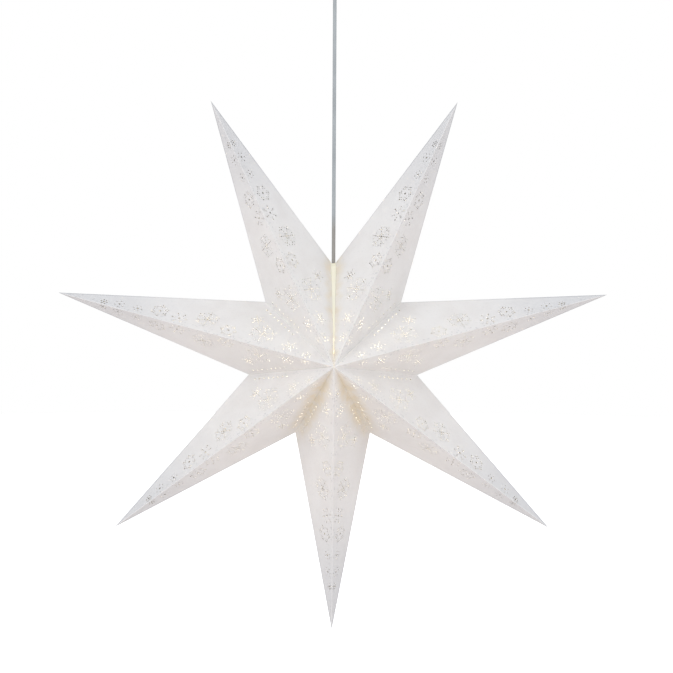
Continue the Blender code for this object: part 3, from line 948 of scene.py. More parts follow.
@dataclass
class PaperPoint:
    """One hollow point: a single sheet folded into four facets, with glue flaps in its valleys."""

    form: StarForm
    index: int
    name: str
    body: str
    joint: str
    thickness: float = 0.35 * MM
    flap_width: float = 9.0 * MM
    # the width of the painted warm shade by the lowest valleys
    warm_shade_width: float = 17.0 * MM
    edge_step: float = 6.0 * MM
    grid_step: float = 9.0 * MM
    grid_from_border: float = 3.0 * MM
    grid_from_hole: float = 2.0 * MM
    apex_trim: float = 0.7 * MM
    hole_sides: int = 8
    bulge: float = 0.55 * MM
    # the painted warm shade by the seam and by the lowest valleys: strength and width
    seam_warm_shade: float = 0.70
    seam_warm_shade_width: tuple[float, float] = (1.5 * MM, 9.5 * MM)
    valley_warm_shade: float = 0.85
    flap_start: float = 7.0 * MM
    flap_end: float = 2.0 * MM
    seam_flap_end: float = 18.0 * MM
    flap_taper: float = 0.75
    wave: tuple[float, float] = (41.0, 67.0)
    weld: float = 0.005 * MM
    off_facet: tuple[float, float, float] = (0.1, 0.1, 0.0)
    pattern: PunchPattern = field(default_factory=PunchPattern)

    @property
    def angle(self) -> float:
        """The point's own direction."""
        return self.form.angle(self.index)

    def is_seam(self, side: int) -> bool:
        """Whether this side of the point is the open seam at the top."""
        half = self.form.points // 2
        return (self.index, side) in ((half, 1), (half + 1, -1))

    def valley_angle(self, side: int) -> float:
        """The angle of the valley on one side, less half the gap there and the seam's spread.

        Args:
            side: -1 or 1, the side of the point.

        Returns:
            The angle.
        """
        gap = self.form.fold_gap / 2 / self.form.valley_radius
        spread = self.form.seam_spread if self.is_seam(side) else 0.0
        return self.angle + side * (self.form.half_pitch - gap - spread)

    def facet(self, face: int, side: int) -> Facet:
        """One of the point's four facets.

        Args:
            face: -1 at the front and 1 at the back.
            side: -1 or 1, the side of the ridge.

        Returns:
            The facet.
        """
        form = self.form
        apex = np.array([0.0, face * form.half_depth, 0.0])
        tip = form.radius * form.radial(self.angle)
        radius = form.seam_valley_radius if self.is_seam(side) else form.valley_radius
        valley = radius * form.radial(self.valley_angle(side))
        return Facet(apex, tip, valley, tip / 2)

    def outline(self, facet: Facet) -> list[np.ndarray]:
        """The facet's border in even steps, from its trimmed apex to its tip and valley, and back.

        Args:
            facet: The facet's flat layout.

        Returns:
            The border's flat points.
        """
        ridge_start = np.array([self.apex_trim, 0.0])
        valley_start = unit(facet.valley) * self.apex_trim * 1.4
        border: list[np.ndarray] = []
        for start, end in ((ridge_start, facet.tip), (facet.tip, facet.valley),
                           (facet.valley, valley_start), (valley_start, ridge_start)):
            steps = max(1, round(float(np.linalg.norm(end - start)) / self.edge_step))
            border += [start + (end - start) * step / steps for step in range(steps)]
        return border

    def cut_sheet(self, facet: Facet, rowed: bool) -> FlatSheet:
        """Cuts the facet out and punches its holes.

        Args:
            facet: The facet's flat layout.
            rowed: Whether a row of holes runs beside its valley.

        Returns:
            Its triangles, with a hole wherever the pattern has one.
        """
        border = self.outline(facet)
        spots = list(border)
        edges = [(i, (i + 1) % len(border)) for i in range(len(border))]
        holes = self.pattern.holes(facet, rowed)
        for along, across, radius in holes:
            first = len(spots)
            for step in range(self.hole_sides):
                turn = 2 * math.pi * (step + 0.5) / self.hole_sides
                spots.append(np.array([along + radius * math.cos(turn),
                                       across + radius * math.sin(turn)]))
            loop = range(first, first + self.hole_sides)
            edges += [(i, first + (i - first + 1) % self.hole_sides) for i in loop]
        spots += self.grid(facet, holes)
        flat = [Vector((spot[0] / MM, spot[1] / MM)) for spot in spots]
        points, _, faces, *_ = delaunay_2d_cdt(flat, edges, [], 0, 1e-4)
        found = np.array([(p[0], p[1]) for p in points]) * MM
        triangles = np.array([face for face in faces if len(face) == 3])
        centres = found[triangles].mean(axis=1)
        solid = np.ones(len(triangles), bool)
        for along, across, radius in holes:
            solid &= np.hypot(centres[:, 0] - along, centres[:, 1] - across) > radius * 0.97
        return FlatSheet(found, triangles[solid])

    def grid(self, facet: Facet, holes: Sequence[tuple[float, float, float]]) -> list[np.ndarray]:
        """Loose points inside the facet, clear of its holes, that let the sheet bend a little.

        Args:
            facet: The facet's flat layout.
            holes: Its holes, as along, across and radius.

        Returns:
            The flat points.
        """
        found = []
        rows = int(facet.valley[1] / self.grid_step)
        columns = int(facet.tip[0] / self.grid_step)
        for row in range(1, rows + 1):
            for column in range(1, columns + 1):
                spot = np.array([column + 0.5 * (row % 2), row]) * self.grid_step
                room = min(facet.valley_distance(*spot), facet.edge_distance(*spot))
                clear = all(math.hypot(spot[0] - a, spot[1] - b) > r + self.grid_from_hole
                            for a, b, r in holes)
                if room > self.grid_from_border and clear:
                    found.append(spot)
        return found

    def painted_warm_shade(self, facet: Facet, flat: np.ndarray, side: int) -> np.ndarray:
        """How strong the painted warm shade is at each spot: a band by the seam, and the two lowest
        valleys.

        Args:
            facet: The facet's flat layout.
            flat: The spots.
            side: The side of the point that the facet is on.

        Returns:
            A share from 0 to 1 for each spot.
        """
        distance = facet.valley_distance(flat[:, 0], flat[:, 1])
        reach = np.clip(np.hypot(flat[:, 0], flat[:, 1]) / np.linalg.norm(facet.valley), 0, 1)
        if self.is_seam(side):
            narrow, wide = self.seam_warm_shade_width
            width = narrow + (wide - narrow) * reach
            return self.seam_warm_shade * np.clip((width - distance) / (2.0 * MM), 0, 1)
        if self.is_lowest(side):
            width = self.warm_shade_width * np.clip(reach / 0.30, 0, 1)
            share = np.clip((width - distance) / (0.6 * self.warm_shade_width), 0, 1)
            return self.valley_warm_shade * share * np.clip((1.08 - reach) / 0.35, 0, 1)
        return np.zeros(len(flat))

    def is_lowest(self, side: int) -> bool:
        """Whether this side of the point is one of the two valleys beside the bottom point."""
        return (self.index, side) in ((0, -1), (0, 1), (1, -1), (self.form.points - 1, 1))

    def flap(self, facet: Facet, side: int) -> tuple[np.ndarray, np.ndarray]:
        """A glue flap along the valley, sharing the fold's own points.

        Args:
            facet: The facet that the flap is folded from.
            side: The side of the point that it is on.

        Returns:
            Its positions and its triangles, facing the neighbouring point.
        """
        border = [spot for spot in self.outline(facet)
                  if abs(facet.valley_distance(*spot)) < 1e-7 and np.linalg.norm(spot) > 0]
        border.sort(key=lambda spot: float(np.linalg.norm(spot)))
        roots = facet.place(np.array(border))
        run = unit(roots[-1] - roots[0])
        inward = unit(-roots[-1] + (roots[-1] @ run) * run)
        radial = self.form.radial(self.valley_angle(side))
        reach = roots @ radial
        depth = np.abs(roots[:, 1])
        end = self.seam_flap_end if self.is_seam(side) else self.flap_end
        width = np.minimum(reach - self.flap_start, depth - end) / self.flap_taper
        width = np.clip(width, 0.0, self.flap_width)
        free = roots + np.outer(width, inward)
        count = len(roots)
        triangles = []
        for step in range(count - 1):
            if width[step + 1] > 0:
                triangles.append((step, step + 1, count + step + 1))
            if width[step] > 0:
                triangles.append((step, count + step + 1, count + step))
        out = side * self.form.tangent(self.valley_angle(side))
        points = np.vstack([roots, free])
        return points, self.facing(points, np.array(triangles), out)

    @staticmethod
    def facing(points: np.ndarray, triangles: np.ndarray, out: np.ndarray) -> np.ndarray:
        """Turns triangles so that they face one way.

        Args:
            points: The corners' positions.
            triangles: The triangles.
            out: The way that they should face.

        Returns:
            The triangles.
        """
        a, b, c = (points[triangles[:, corner]] for corner in range(3))
        right = np.einsum("ij,j->i", np.cross(b - a, c - a), out) > 0
        return np.where(right[:, None], triangles, triangles[:, ::-1])

    def bowed(self, facet: Facet, flat: np.ndarray, phase: float) -> np.ndarray:
        """The facet's points in place, pushed in or out a little where the paper isn't quite flat.

        Args:
            facet: The facet's flat layout.
            flat: The flat points.
            phase: Where the waves start, so that no two facets bow alike.

        Returns:
            Their positions.
        """
        room = np.minimum(facet.edge_distance(flat[:, 0], flat[:, 1]),
                          facet.valley_distance(flat[:, 0], flat[:, 1]))
        room = np.clip(np.minimum(room, flat[:, 1]) / self.grid_step, 0, 1)
        waves_along, waves_across = flat.T * np.array(self.wave)[:, None]
        wave = np.sin(waves_along + phase) * np.cos(waves_across + phase * 0.7)
        return facet.place(flat) + np.outer(self.bulge * room * (wave - 0.35), facet.outward)

    def build(self, outer: Material, inner: Material) -> Object:
        """Builds the folded sheet, stores where each spot is on its facet, and gives it its paper.

        Args:
            outer: The printed side's finish.
            inner: The plain side's finish.

        Returns:
            The piece.
        """
        parts: list[SheetPart] = []
        for face, side in ((-1, -1), (-1, 1), (1, -1), (1, 1)):
            facet = self.facet(face, side)
            sheet = self.cut_sheet(facet, not self.is_seam(side))
            flat = sheet.points
            placed = self.bowed(facet, flat, self.index * 2.1 + face + side * 0.5)
            to_edge = facet.edge_distance(flat[:, 0], flat[:, 1])
            to_valley = facet.valley_distance(flat[:, 0], flat[:, 1])
            reach = np.linalg.norm(placed, axis=1) / self.form.radius
            # the facet numbers carry the painted warm shade's strength as their third
            parts.append(SheetPart(
                placed, self.facing(placed, sheet.triangles, facet.outward), PRINTED_SIDE,
                np.stack([flat[:, 0], flat[:, 1], self.painted_warm_shade(facet, flat, side)], 1),
                np.stack([to_edge, to_valley, reach], 1)))
            points, strips = self.flap(facet, side)
            nowhere = np.tile(self.off_facet, (len(points), 1))
            parts.append(SheetPart(points, strips, PLAIN_SIDE, nowhere, nowhere))
        mesh = self.join(parts)
        mesh.materials.append(outer)
        mesh.materials.append(inner)
        piece = add_piece(f"{self.name}_sheet", mesh, self.body, [self.name])
        solid = piece.modifiers.new("sheet_thickness", "SOLIDIFY")
        solid.thickness = self.thickness
        solid.offset = -1.0
        solid.material_offset = PLAIN_SIDE
        solid.material_offset_rim = PLAIN_SIDE
        self.form.flatten(piece, self.angle, self.joint)
        return piece

    def join(self, parts: Sequence[SheetPart]) -> Mesh:
        """Makes one mesh of the facets and flaps, welded along their folds, with its stored numbers.

        Args:
            parts: The facets and flaps.

        Returns:
            The mesh.
        """
        starts = np.cumsum([0] + [len(part.points) for part in parts])
        triangles = np.vstack([part.triangles + start for part, start in zip(parts, starts)])
        points = np.vstack([part.points for part in parts]) + self.form.centre
        mesh = bpy.data.meshes.new(self.name)
        mesh.from_pydata(points.tolist(), [], triangles.tolist())
        for name in ("facet", "edges"):
            data = np.vstack([getattr(part, name) for part in parts])
            layer = mesh.attributes.new(name, "FLOAT_VECTOR", "CORNER")
            layer.data.foreach_set("vector", data[triangles.ravel()].astype(np.float32).ravel())
        plain = np.concatenate([np.full(len(part.triangles), part.finish) for part in parts])
        mesh.polygons.foreach_set("material_index", plain)
        bm = bmesh.new()
        bm.from_mesh(mesh)
        bmesh.ops.remove_doubles(bm, verts=bm.verts, dist=self.weld)
        loose = [vert for vert in bm.verts if not vert.link_faces]
        bmesh.ops.delete(bm, geom=loose, context="VERTS")
        bm.to_mesh(mesh)
        bm.free()
        return mesh


@dataclass
class PaperStar:
    """The seven points, and the strips and fastening dots of the seam between the two at the top."""

    form: StarForm
    names: tuple[str, ...] = ("bottom", "lower_right", "right", "top_right", "top_left", "left",
                              "lower_left")
    cover_tab: float = 3.2 * MM
    cover_inset: float = 0.3 * MM
    cover_clearance: float = 0.15 * MM
    cover_thickness: float = 0.3 * MM
    cover_dish: float = 0.1 * MM
    dot_half: float = 0.42 * MM
    dot_inset: float = 0.1 * MM
    dot_flat: float = 0.93

    def body(self, name: str) -> str:
        """The body that a point rides on: the bottom point carries the others."""
        return "star" if name == "bottom" else name

    def joint(self, name: str) -> str:
        """The fold joint that flattens a point."""
        return "fold_lower_left" if name == "bottom" else f"fold_{name}"

    def build(self) -> None:
        """Builds every point, then the seam's dots and strips."""
        prints = tuple(FlakePrint(flake.along, flake.across, flake.reach)
                       for flake in PunchPattern().flakes if flake.rings == 4)
        outer = PaperFinish("printed_paper", flakes=prints).build()
        inner = PaperFinish("plain_paper", colour=(0.93, 0.92, 0.90), shade=(0.91, 0.895, 0.87),
                            printed=False).build()
        for index, name in enumerate(self.names):
            PaperPoint(self.form, index, f"paper_point_{name}", self.body(name),
                       self.joint(name)).build(outer, inner)
        # partly painted light: the strip's bright cream stands in for the lamp's glow in the seam,
        # and some real lamp light comes through it
        cover = PaperFinish("cream_strip", colour=(0.97, 0.955, 0.83), shade=(0.95, 0.93, 0.79),
                            through=(0.98, 0.94, 0.76), see_through=0.2, printed=False).build()
        for face, where in ((-1, "front"), (1, "back")):
            self.build_dot(f"seam_hook_dot_{where}", "top_left", Finish.HOOKS)
            self.build_dot(f"seam_loop_dot_{where}", "top_right", Finish.LOOPS)
            self.build_cover(f"seam_cover_{where}", face, cover)

    def cover_lines(self, face: int) -> tuple[list[np.ndarray], list[float]]:
        """Follows the seam's two folds from near the middle up to the tab over the cord.

        Args:
            face: -1 at the front and 1 at the back.

        Returns:
            The middle line of the strip's outer face, and its half width at each place.
        """
        form = self.form
        low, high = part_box("seam_cover_front")
        start, top = low[2] - form.centre[2], high[2] - form.centre[2]
        fold = math.hypot(form.half_depth, form.seam_valley_radius) / form.seam_valley_radius
        bend = top - self.cover_tab
        radii = list(np.linspace(start, bend, 24)) + list(np.linspace(bend, top, 4))[1:]
        places, widths = [], []
        for radius in radii:
            share = min(radius, bend) / form.seam_valley_radius
            depth = form.half_depth * (1 - share) - self.cover_inset * fold
            places.append(form.centre + np.array([0.0, face * depth, radius]))
            widths.append(radius * math.sin(form.seam_spread) - self.cover_clearance)
        return places, widths

    def build_cover(self, node: str, face: int, paper: Material) -> None:
        """The strip inside the seam's folds, painted a bright cream for the lamp's glow through the
        seam, a little dished, with its tab over the cord.

        Args:
            node: The plain solid that it stands for.
            face: -1 at the front and 1 at the back.
            paper: Its finish.
        """
        places, widths = self.cover_lines(face)
        across = np.linspace(-1, 1, 7)
        bm = bmesh.new()
        skins = []
        for layer in (0.0, self.cover_thickness):
            rows = []
            for place, width in zip(places, widths):
                dish = (1 - across**2) * self.cover_dish * width / widths[-1]
                rows.append([bm.verts.new((share * width, place[1] - face * (layer + sunk), place[2]))
                             for share, sunk in zip(across, dish)])
            for first, second in zip(rows, rows[1:]):
                for step in range(len(across) - 1):
                    bm.faces.new([first[step], first[step + 1], second[step + 1], second[step]])
            skins.append(rows)
        rims, under = ([[row[0] for row in rows], [row[-1] for row in rows], rows[0], rows[-1]]
                       for rows in skins)
        for edge, below in zip(rims, under):
            for step in range(len(edge) - 1):
                bm.faces.new([edge[step], edge[step + 1], below[step + 1], below[step]])
        bmesh.ops.recalc_face_normals(bm, faces=bm.faces)
        piece = add_piece(f"{node}_strip", mesh_from(node, bm, paper), "top_left", [node],
                          SMOOTH_SOFT)
        self.flatten(piece, "top_left")

    def flatten(self, piece: Object, name: str) -> None:
        """Gives a piece its own copy of its mesh, through the form."""
        self.form.flatten(piece, self.form.angle(self.names.index(name)), self.joint(name))

    def build_dot(self, node: str, body: str, finish: Finish) -> None:
        """One half of a fastening pair: a soft-edged disc where its plain solid lies.

        Args:
            node: The plain solid.
            body: The point that it is on.
            finish: Hooks or loops.
        """
        low, high = (np.array(corner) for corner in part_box(node))
        middle = Matrix.Translation(Vector((low + high) / 2))
        radius = (float(high[1] - low[1]) / 2 - self.dot_inset) / MM
        side = -1 if body == "top_left" else 1
        lean = Euler((0.0, -side * (math.pi / 2 - self.form.seam_spread), 0.0)).to_matrix().to_4x4()
        half, flat = self.dot_half / MM, radius * self.dot_flat
        profile = [(0.0, -half), (flat, -half), (radius, -half * 0.5), (radius, half * 0.5),
                   (flat, half), (0.0, half)]
        piece = turned_piece(node, profile, finish, body, middle @ lean, 48,
                             SMOOTH_SOFT, "tape")
        self.flatten(piece, body)


# --- The cord and the lamp ------------------------------------------------------------------------


@dataclass
class HangingCord:
    """The mains cord, straight under the star's weight, from the relief sleeve to the lampholder."""

    form: StarForm
    diameter: float = 4.0 * MM
    top: float = -0.0760
    end_height: float = 0.0680
    step: float = 0.0125
    # where the cord's painted warm shade is full and where it is gone, above the seam's top
    cord_shade_from: float = 32.0 * MM
    cord_shade_to: float = 55.0 * MM

    def build(self) -> None:
        bottom = float(self.form.centre[2]) + self.end_height
        steps = round((self.top - bottom) / self.step)
        curve = bpy.data.curves.new("hanging_cord", "CURVE")
        curve.dimensions = "3D"
        curve.bevel_depth = self.diameter / 2
        curve.bevel_resolution = 8
        curve.use_fill_caps = True
        line = curve.splines.new("POLY")
        line.points.add(steps)
        for number, point in enumerate(line.points):
            point.co = (0.0, 0.0, self.top + (bottom - self.top) * number / steps, 1.0)
        seam_top = float(self.form.centre[2]) + self.form.seam_valley_radius
        finish = CordFinish("cord_sheath", cord_shade_from=seam_top + self.cord_shade_from,
                            cord_shade_to=seam_top + self.cord_shade_to)
        curve.materials.append(finish.build())
        cord = in_scene("hanging_cord", curve)
        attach(cord, "pendant")
        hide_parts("cord")
        self.top - bottom
        LOG.info("hanging_cord: %.3f m", self.top - bottom)


@dataclass
class Lamp:
    """The small bulb and its holder inside the star.

    Its lengths are in millimetres, and its heights are from the star's centre.
    """

    form: StarForm
    glass_radius: float = 11.0
    glass_low: float = 2.0
    glass_wall: float = 0.6
    neck: float = 6.0
    neck_top: float = 30.0
    wire_turns: int = 44
    wire_sides: int = 6
    wire_radius: float = 0.22
    wire_share: float = 0.92
    wire_reach: float = 4.6
    wire_heights: tuple[float, float] = (15.5, 8.5)
    wire_end: tuple[float, float] = (1.0, 17.0)
    light_watts: float = 0.30
    light_colour: Colour = (1.0, 0.90, 0.70)

    @property
    def place(self) -> Matrix:
        """The move from the star's centre to the frame."""
        return Matrix.Translation(Vector(self.form.centre))

    def build(self) -> None:
        """Builds the holder, the bulb and its light."""
        self.build_holder()
        self.build_bulb()
        self.build_light()
        dress_nodes(Finish.BRASS.material(), "thread_sleeve", "centre_contact", "live_terminal_screw",
                    "neutral_terminal_screw", "bulb_contact")
        dress_nodes(Finish.STEATITE.material(), "contact_block")
        dress_nodes(Finish.VITRITE.material(), "bulb_insulator")

    def build_holder(self) -> None:
        """The cord grip, the cap and the ribbed skirt."""
        grip = [(2.3, 76.0), (6.6, 76.0), (7.0, 76.4), (7.0, 79.2), (6.6, 79.9), (6.1, 80.6),
                (5.4, 84.4), (4.8, 87.6), (4.3, 88.4), (2.7, 88.4), (2.3, 87.9)]
        cap = [(2.3, 74.3), (2.3, 75.6), (7.6, 75.6), *arc((7.6, 66.5), 6.0, 62, 4, 9), (13.9, 60.0),
               (14.0, 50.6), (13.6, 50.0), (12.6, 50.0), (12.3, 65.5), (11.5, 69.0), (9.8, 72.0),
               (7.2, 74.3)]
        skirt = [(11.4, 21.4), (11.8, 21.0), (12.6, 21.0), (13.0, 21.6),
                 *ribs(27.0, 4.0, 5, [(13.0, 0.0), (13.4, 0.5), (13.4, 2.2), (13.0, 2.7)]),
                 (13.4, 47.6), (13.4, 49.6), (11.4, 49.6)]
        for node, profile in (("lamp_cord_grip", grip), ("lampholder_cap", cap),
                              ("lampholder_skirt", skirt)):
            turned_piece(node, profile, Finish.HOLDER, "pendant", self.place)

    def build_bulb(self) -> None:
        """The frosted glass, its screw cap, and the wire inside."""
        middle, wall = self.glass_low + self.glass_radius, self.glass_wall
        outer = [(0.0, self.glass_low), *arc((0.0, middle), self.glass_radius, -84, 20, 16),
                 (9.3, 20.6), (7.4, 22.6), (6.3, 23.6), (self.neck, 24.6), (self.neck, self.neck_top)]
        inner = [(self.neck - wall, self.neck_top), (self.neck - wall, 24.4), (5.8, 23.4),
                 (6.9, 22.1), (8.8, 20.1),
                 *arc((0.0, middle), self.glass_radius - wall, 20, -84, 16),
                 (0.0, self.glass_low + wall)]
        glass = turned_piece("bulb_glass", outer + inner, Finish.BULB, "bulb",
                             self.place)
        glass.visible_shadow = False
        cap = [(6.9, 23.6), (6.9, 25.6),
               *ribs(26.0, 2.1, 6, [(6.45, 0.0), (6.75, 0.5), (6.98, 1.05), (6.75, 1.6)]),
               (6.5, 38.7), (6.0, 40.4), (5.4, 40.4), (6.1, 38.4), (6.35, 23.6)]
        turned_piece("bulb_cap", cap, Finish.NICKEL, "bulb", self.place)
        self.build_wire()

    def build_wire(self) -> None:
        """A glass stem with a zigzag of wire round it."""
        bm = lathe([(0.0, 14.0), (0.9, 14.2), (1.1, 18.0), (2.2, 19.0), (2.4, 23.0), (3.9, 28.8),
                    (0.0, 28.8)], 32)
        rings = []
        for step in range(self.wire_turns + 1):
            around = 2 * math.pi * self.wire_share * step / self.wire_turns
            reach, height = self.wire_reach, self.wire_heights[step % 2]
            if step in (0, self.wire_turns):
                reach, height = self.wire_end
            out = Vector((math.cos(around), math.sin(around), 0.0))
            along = Vector((-out.y, out.x, 0.0))
            centre = out * reach + Vector((0.0, 0.0, height))
            turns = [2 * math.pi * corner / self.wire_sides for corner in range(self.wire_sides)]
            offsets = [out * math.cos(turn) + along * math.sin(turn) for turn in turns]
            rings.append([bm.verts.new((centre + offset * self.wire_radius) * MM)
                          for offset in offsets])
        for first, second in zip(rings, rings[1:]):
            for corner in range(self.wire_sides):
                there = (corner + 1) % self.wire_sides
                bm.faces.new([first[corner], first[there], second[there], second[corner]])
        bm.faces.new(rings[0])
        bm.faces.new(rings[-1])
        bmesh.ops.recalc_face_normals(bm, faces=bm.faces)
        bmesh.ops.transform(bm, matrix=self.place, verts=bm.verts)
        mesh = mesh_from("bulb_wire", bm, Finish.WIRE.material())
        piece = add_piece("bulb_wire", mesh, "bulb", ["bulb_filament"], SMOOTH_SOFT)
        piece.visible_shadow = False

    def build_light(self) -> None:
        """The bulb's own light."""
        light = bpy.data.lights.new("bulb_light", "POINT")
        light.energy = self.light_watts
        light.color = self.light_colour
        light.shadow_soft_size = self.glass_radius * 0.8 * MM
        lamp = in_scene("bulb_light", light)
        lamp.location = self.place @ Vector((0.0, 0.0, (self.glass_low + self.glass_radius) * MM))
        lamp.parent = frame["bodies"]["bulb"]


# --- The ceiling fitting --------------------------------------------------------------------------


@dataclass
class CeilingFitting:
    """The cup, bush and relief sleeve at the ceiling, and the small hardware inside the cup.

    Its lengths are in millimetres.
    """

    depth: float = 58.0
    radius: float = 45.0
    base_radius: float = 42.0
    wall: float = 1.6
    hole: float = 7.0
    corner: float = 12.0
    screw_start: float = 34.2
    screw_radius: float = 1.9
    head_stand: float = 0.4
    head_radius: float = 3.7
    head_height: float = 2.6
    slot_out: float = 2.9
    slot_bars: tuple[tuple[float, float, float], ...] = ((3.0, 3.6, 0.7), (3.0, 0.7, 3.6))

    def build(self) -> None:
        """Builds what shows and dresses the rest."""
        self.build_cup()
        self.build_screws()
        self.build_outlet()
        dress_nodes(Finish.HOLDER.material(), "strain_clamp", "terminal_block")
        dress_nodes(Finish.CUP.material(), "bush_nut")
        dress_nodes(Finish.ZINC.material(), "ceiling_plate", "strain_clamp_screw")
        dress_nodes(Finish.BRASS.material(), *[f"terminal_screw_{number}" for number in range(1, 5)])
        dress_nodes(bpy.data.materials["cord_sheath"], "cord_tail")

    def build_cup(self) -> None:
        """A smooth cup with a rolled rim and a soft bottom edge."""
        corner, depth, lip = self.corner, self.depth, self.radius - self.wall
        middle = (self.base_radius - corner, corner - depth)
        flat = middle[0] - corner / 2
        outer = [(self.hole, -depth), (flat, -depth), *arc(middle, corner, -88, -4, 18),
                 (self.radius - 0.5, -6.0), (self.radius, -5.2), (self.radius, -0.6),
                 (self.radius - 0.5, 0.0)]
        inner = [(lip, 0.0), (lip - 0.3, -6.0), *arc(middle, corner - self.wall, -4, -88, 18),
                 (flat, self.wall - depth), (self.hole, self.wall - depth)]
        turned_piece("ceiling_cup", outer + inner, Finish.CUP, "ceiling", segments=128,
                     kind="shell")

    def build_screws(self) -> None:
        """The cup's two side screws, each with a cross slot."""
        face, start, shank = self.radius + self.head_stand, self.screw_start, self.screw_radius
        profile = [(0.0, start), (shank - 0.3, start), (shank, start + 0.4), (shank, face),
                   (self.head_radius, face), *arc((0.0, face - 1.5), 4.1, 24, 78, 8),
                   (0.0, face + self.head_height)]
        for side, name in ((-1, "left"), (1, "right")):
            node = f"cup_screw_{name}"
            low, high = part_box(node)
            height = (low[2] + high[2]) / 2
            place = Matrix.Translation((0, 0, height)) @ Matrix.Rotation(math.pi / 2 * side, 4, "Y")
            piece = turned_piece(node, profile, Finish.NICKEL, "ceiling", place, 48)
            self.cut_cross(piece, Vector((side * (face + self.slot_out) * MM, 0.0, height)))

    def cut_cross(self, piece: Object, at: Vector) -> None:
        """Cuts a cross slot into a screw's head.

        Args:
            piece: The screw.
            at: The middle of the bars that are cut away.
        """
        bm = bmesh.new()
        for bar in self.slot_bars:
            made = bmesh.ops.create_cube(bm, size=1.0)["verts"]
            scale = Matrix.Diagonal((*[part * MM for part in bar], 1.0))
            bmesh.ops.transform(bm, matrix=Matrix.Translation(at) @ scale, verts=made)
        tool = in_scene("cross", mesh_from("cross", bm))
        cut = piece.modifiers.new("cross", "BOOLEAN")
        cut.operation = "DIFFERENCE"
        cut.use_self = True
        cut.object = tool
        graph = bpy.context.evaluated_depsgraph_get()
        piece.data = bpy.data.meshes.new_from_object(piece.evaluated_get(graph))
        piece.modifiers.clear()
        bpy.data.objects.remove(tool, do_unlink=True)

    def build_outlet(self) -> None:
        """The bell-mouthed bush, and the ribbed sleeve that the cord bends in."""
        bush = [(3.3, -47.0), (6.5, -47.0), (6.5, -58.3), (9.6, -58.3), (10.0, -58.7), (9.8, -60.0),
                *arc((8.6, -60.8), 1.2, 20, -90, 6), *arc((8.4, -57.0), 5.1, -100, -175, 8)]
        turned_piece("cord_bush", bush, Finish.CUP, "ceiling", segments=64)
        rib = [(4.7, 0.0), (4.8, -0.8), (4.7, -1.5), (4.1, -1.7), (4.1, -2.2)]
        sleeve = [(0.0, -61.0), (3.2, -61.0), (3.7, -61.5), *ribs(-62.6, -2.4, 6, rib), (4.6, -77.2),
                  (4.5, -78.0), (3.9, -78.0), (3.2, -75.0), (0.0, -75.0)]
        turned_piece("cord_sleeve", sleeve, Finish.RELIEF, "sleeve", segments=48)


# --- The studio -----------------------------------------------------------------------------------


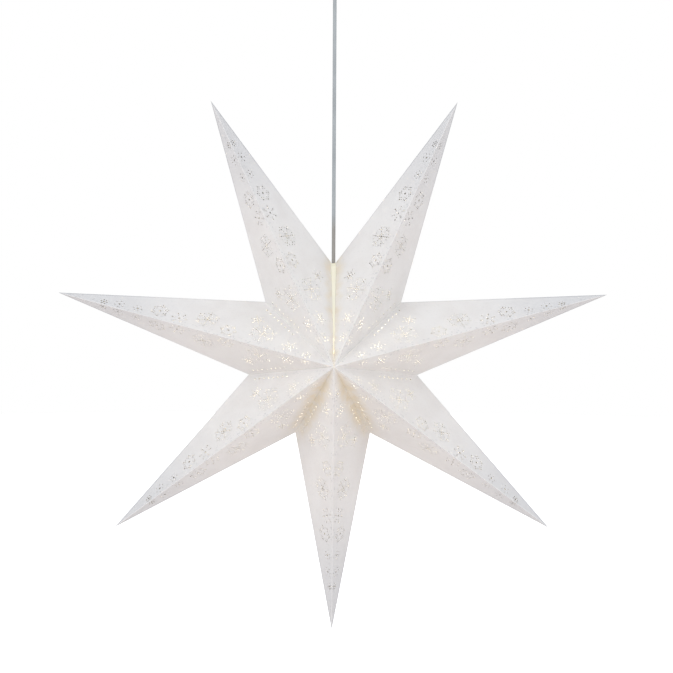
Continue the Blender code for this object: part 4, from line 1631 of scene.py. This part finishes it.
@dataclass
class Studio:
    """A plain pale floor, soft light from above and in front, and the camera."""

    form: StarForm
    distance: float = 2.2
    elevation: float = math.radians(6.7)
    azimuth: float = math.radians(-0.8)
    roll: float = math.radians(0.3)
    focal: float = 107.3
    aim_offset: tuple[float, float, float] = (0.0037, 0.0, 0.0213)
    floor_z: float = -6.0
    floor_radius: float = 35.0
    floor_light: Colour = (1.0, 0.945, 0.93)
    softbox_size: float = 1.6
    sky: Colour = (0.97, 0.98, 1.0)
    sky_light: float = 0.92

    def build(self) -> None:
        """Builds the camera, floor, lights and world."""
        self.build_camera()
        self.build_floor()
        self.build_lights()
        self.build_world()

    def build_camera(self) -> None:
        """A long lens a little above the star, looking slightly down at it."""
        data = bpy.data.cameras.new("camera")
        data.lens = self.focal
        data.sensor_width = 36.0
        camera = in_scene("camera", data)
        level = math.cos(self.elevation)
        back = Vector((math.sin(self.azimuth) * level, -math.cos(self.azimuth) * level,
                       math.sin(self.elevation)))
        aim = Vector(self.form.centre) + Vector(self.aim_offset)
        camera.location = aim + back * self.distance
        turn = (-back).to_track_quat("-Z", "Y").to_matrix().to_4x4()
        camera.rotation_euler = (turn @ Matrix.Rotation(self.roll, 4, "Z")).to_euler()
        bpy.context.scene.camera = camera

    def build_floor(self) -> None:
        """A wide pale floor, far enough below to take no shadow."""
        bm = bmesh.new()
        bmesh.ops.create_circle(bm, cap_ends=True, segments=96, radius=self.floor_radius)
        bmesh.ops.transform(bm, matrix=Matrix.Translation((0, 0, self.floor_z)), verts=bm.verts)
        floor = in_scene("studio_floor", mesh_from("studio_floor", bm, self.floor_material()))

    def floor_material(self) -> Material:
        """Pale and evenly lit, with a little less, warmer light thrown up at the star.

        Returns:
            The material.
        """
        sheet = NodeSheet.material("studio_floor")
        cloud = sheet.noise(0.8, 2.0)
        shown = sheet.principled(Base_Color=sheet.tint(cloud, (0.90, 0.90, 0.90), (0.88, 0.88, 0.88)),
                                 Roughness=0.9, Emission_Color=WHITE, Emission_Strength=0.6)
        thrown = sheet.node("ShaderNodeEmission", {}, {"Color": self.floor_light, "Strength": 1.0})
        return sheet.finish(sheet.seen_or_thrown(shown, thrown.outputs[0]))

    def add_softbox(self, name: str, at: tuple[float, float, float], watts: float,
                    colour: Colour) -> None:
        """A square softbox that faces the star.

        Args:
            name: The light's name.
            at: Where it stands.
            watts: Its power.
            colour: Its colour.
        """
        light = bpy.data.lights.new(name, "AREA")
        light.size = self.softbox_size
        light.energy = watts
        light.color = colour
        lamp = in_scene(name, light)
        lamp.location = at
        towards = Vector(self.form.centre) - Vector(at)
        lamp.rotation_euler = towards.to_track_quat("-Z", "Y").to_euler()

    def build_lights(self) -> None:
        """A softbox high in front on the left, and a weaker one on the right."""
        self.add_softbox("key_softbox", (-1.4, -2.2, 1.3), 21.5, WHITE)
        self.add_softbox("fill_softbox", (2.0, -1.6, 0.4), 6.5, (0.97, 0.98, 1.0))

    def build_world(self) -> None:
        """White all round: full white to the eye, and a little softer and cooler as light."""
        world = bpy.data.worlds.new("studio_world")
        bpy.context.scene.world = world
        sheet = NodeSheet(world)
        thrown, seen = (
            sheet.node("ShaderNodeBackground", {}, {"Color": colour, "Strength": strength}).outputs[0]
            for colour, strength in ((self.sky, self.sky_light), (WHITE, 1.0)))
        sheet.finish(sheet.seen_or_thrown(seen, thrown), "ShaderNodeOutputWorld")
        bpy.context.scene.view_settings.view_transform = "Standard"


def main() -> None:
    """Builds the studio, then every piece from the cord to the ceiling."""
    logging.basicConfig(level=logging.INFO, format="%(name)s: %(message)s")
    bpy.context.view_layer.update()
    form = StarForm.from_frame()
    Studio(form).build()
    HangingCord(form).build()
    PaperStar(form).build()
    Lamp(form).build()
    CeilingFitting().build()


if __name__ == "__main__":
    main()
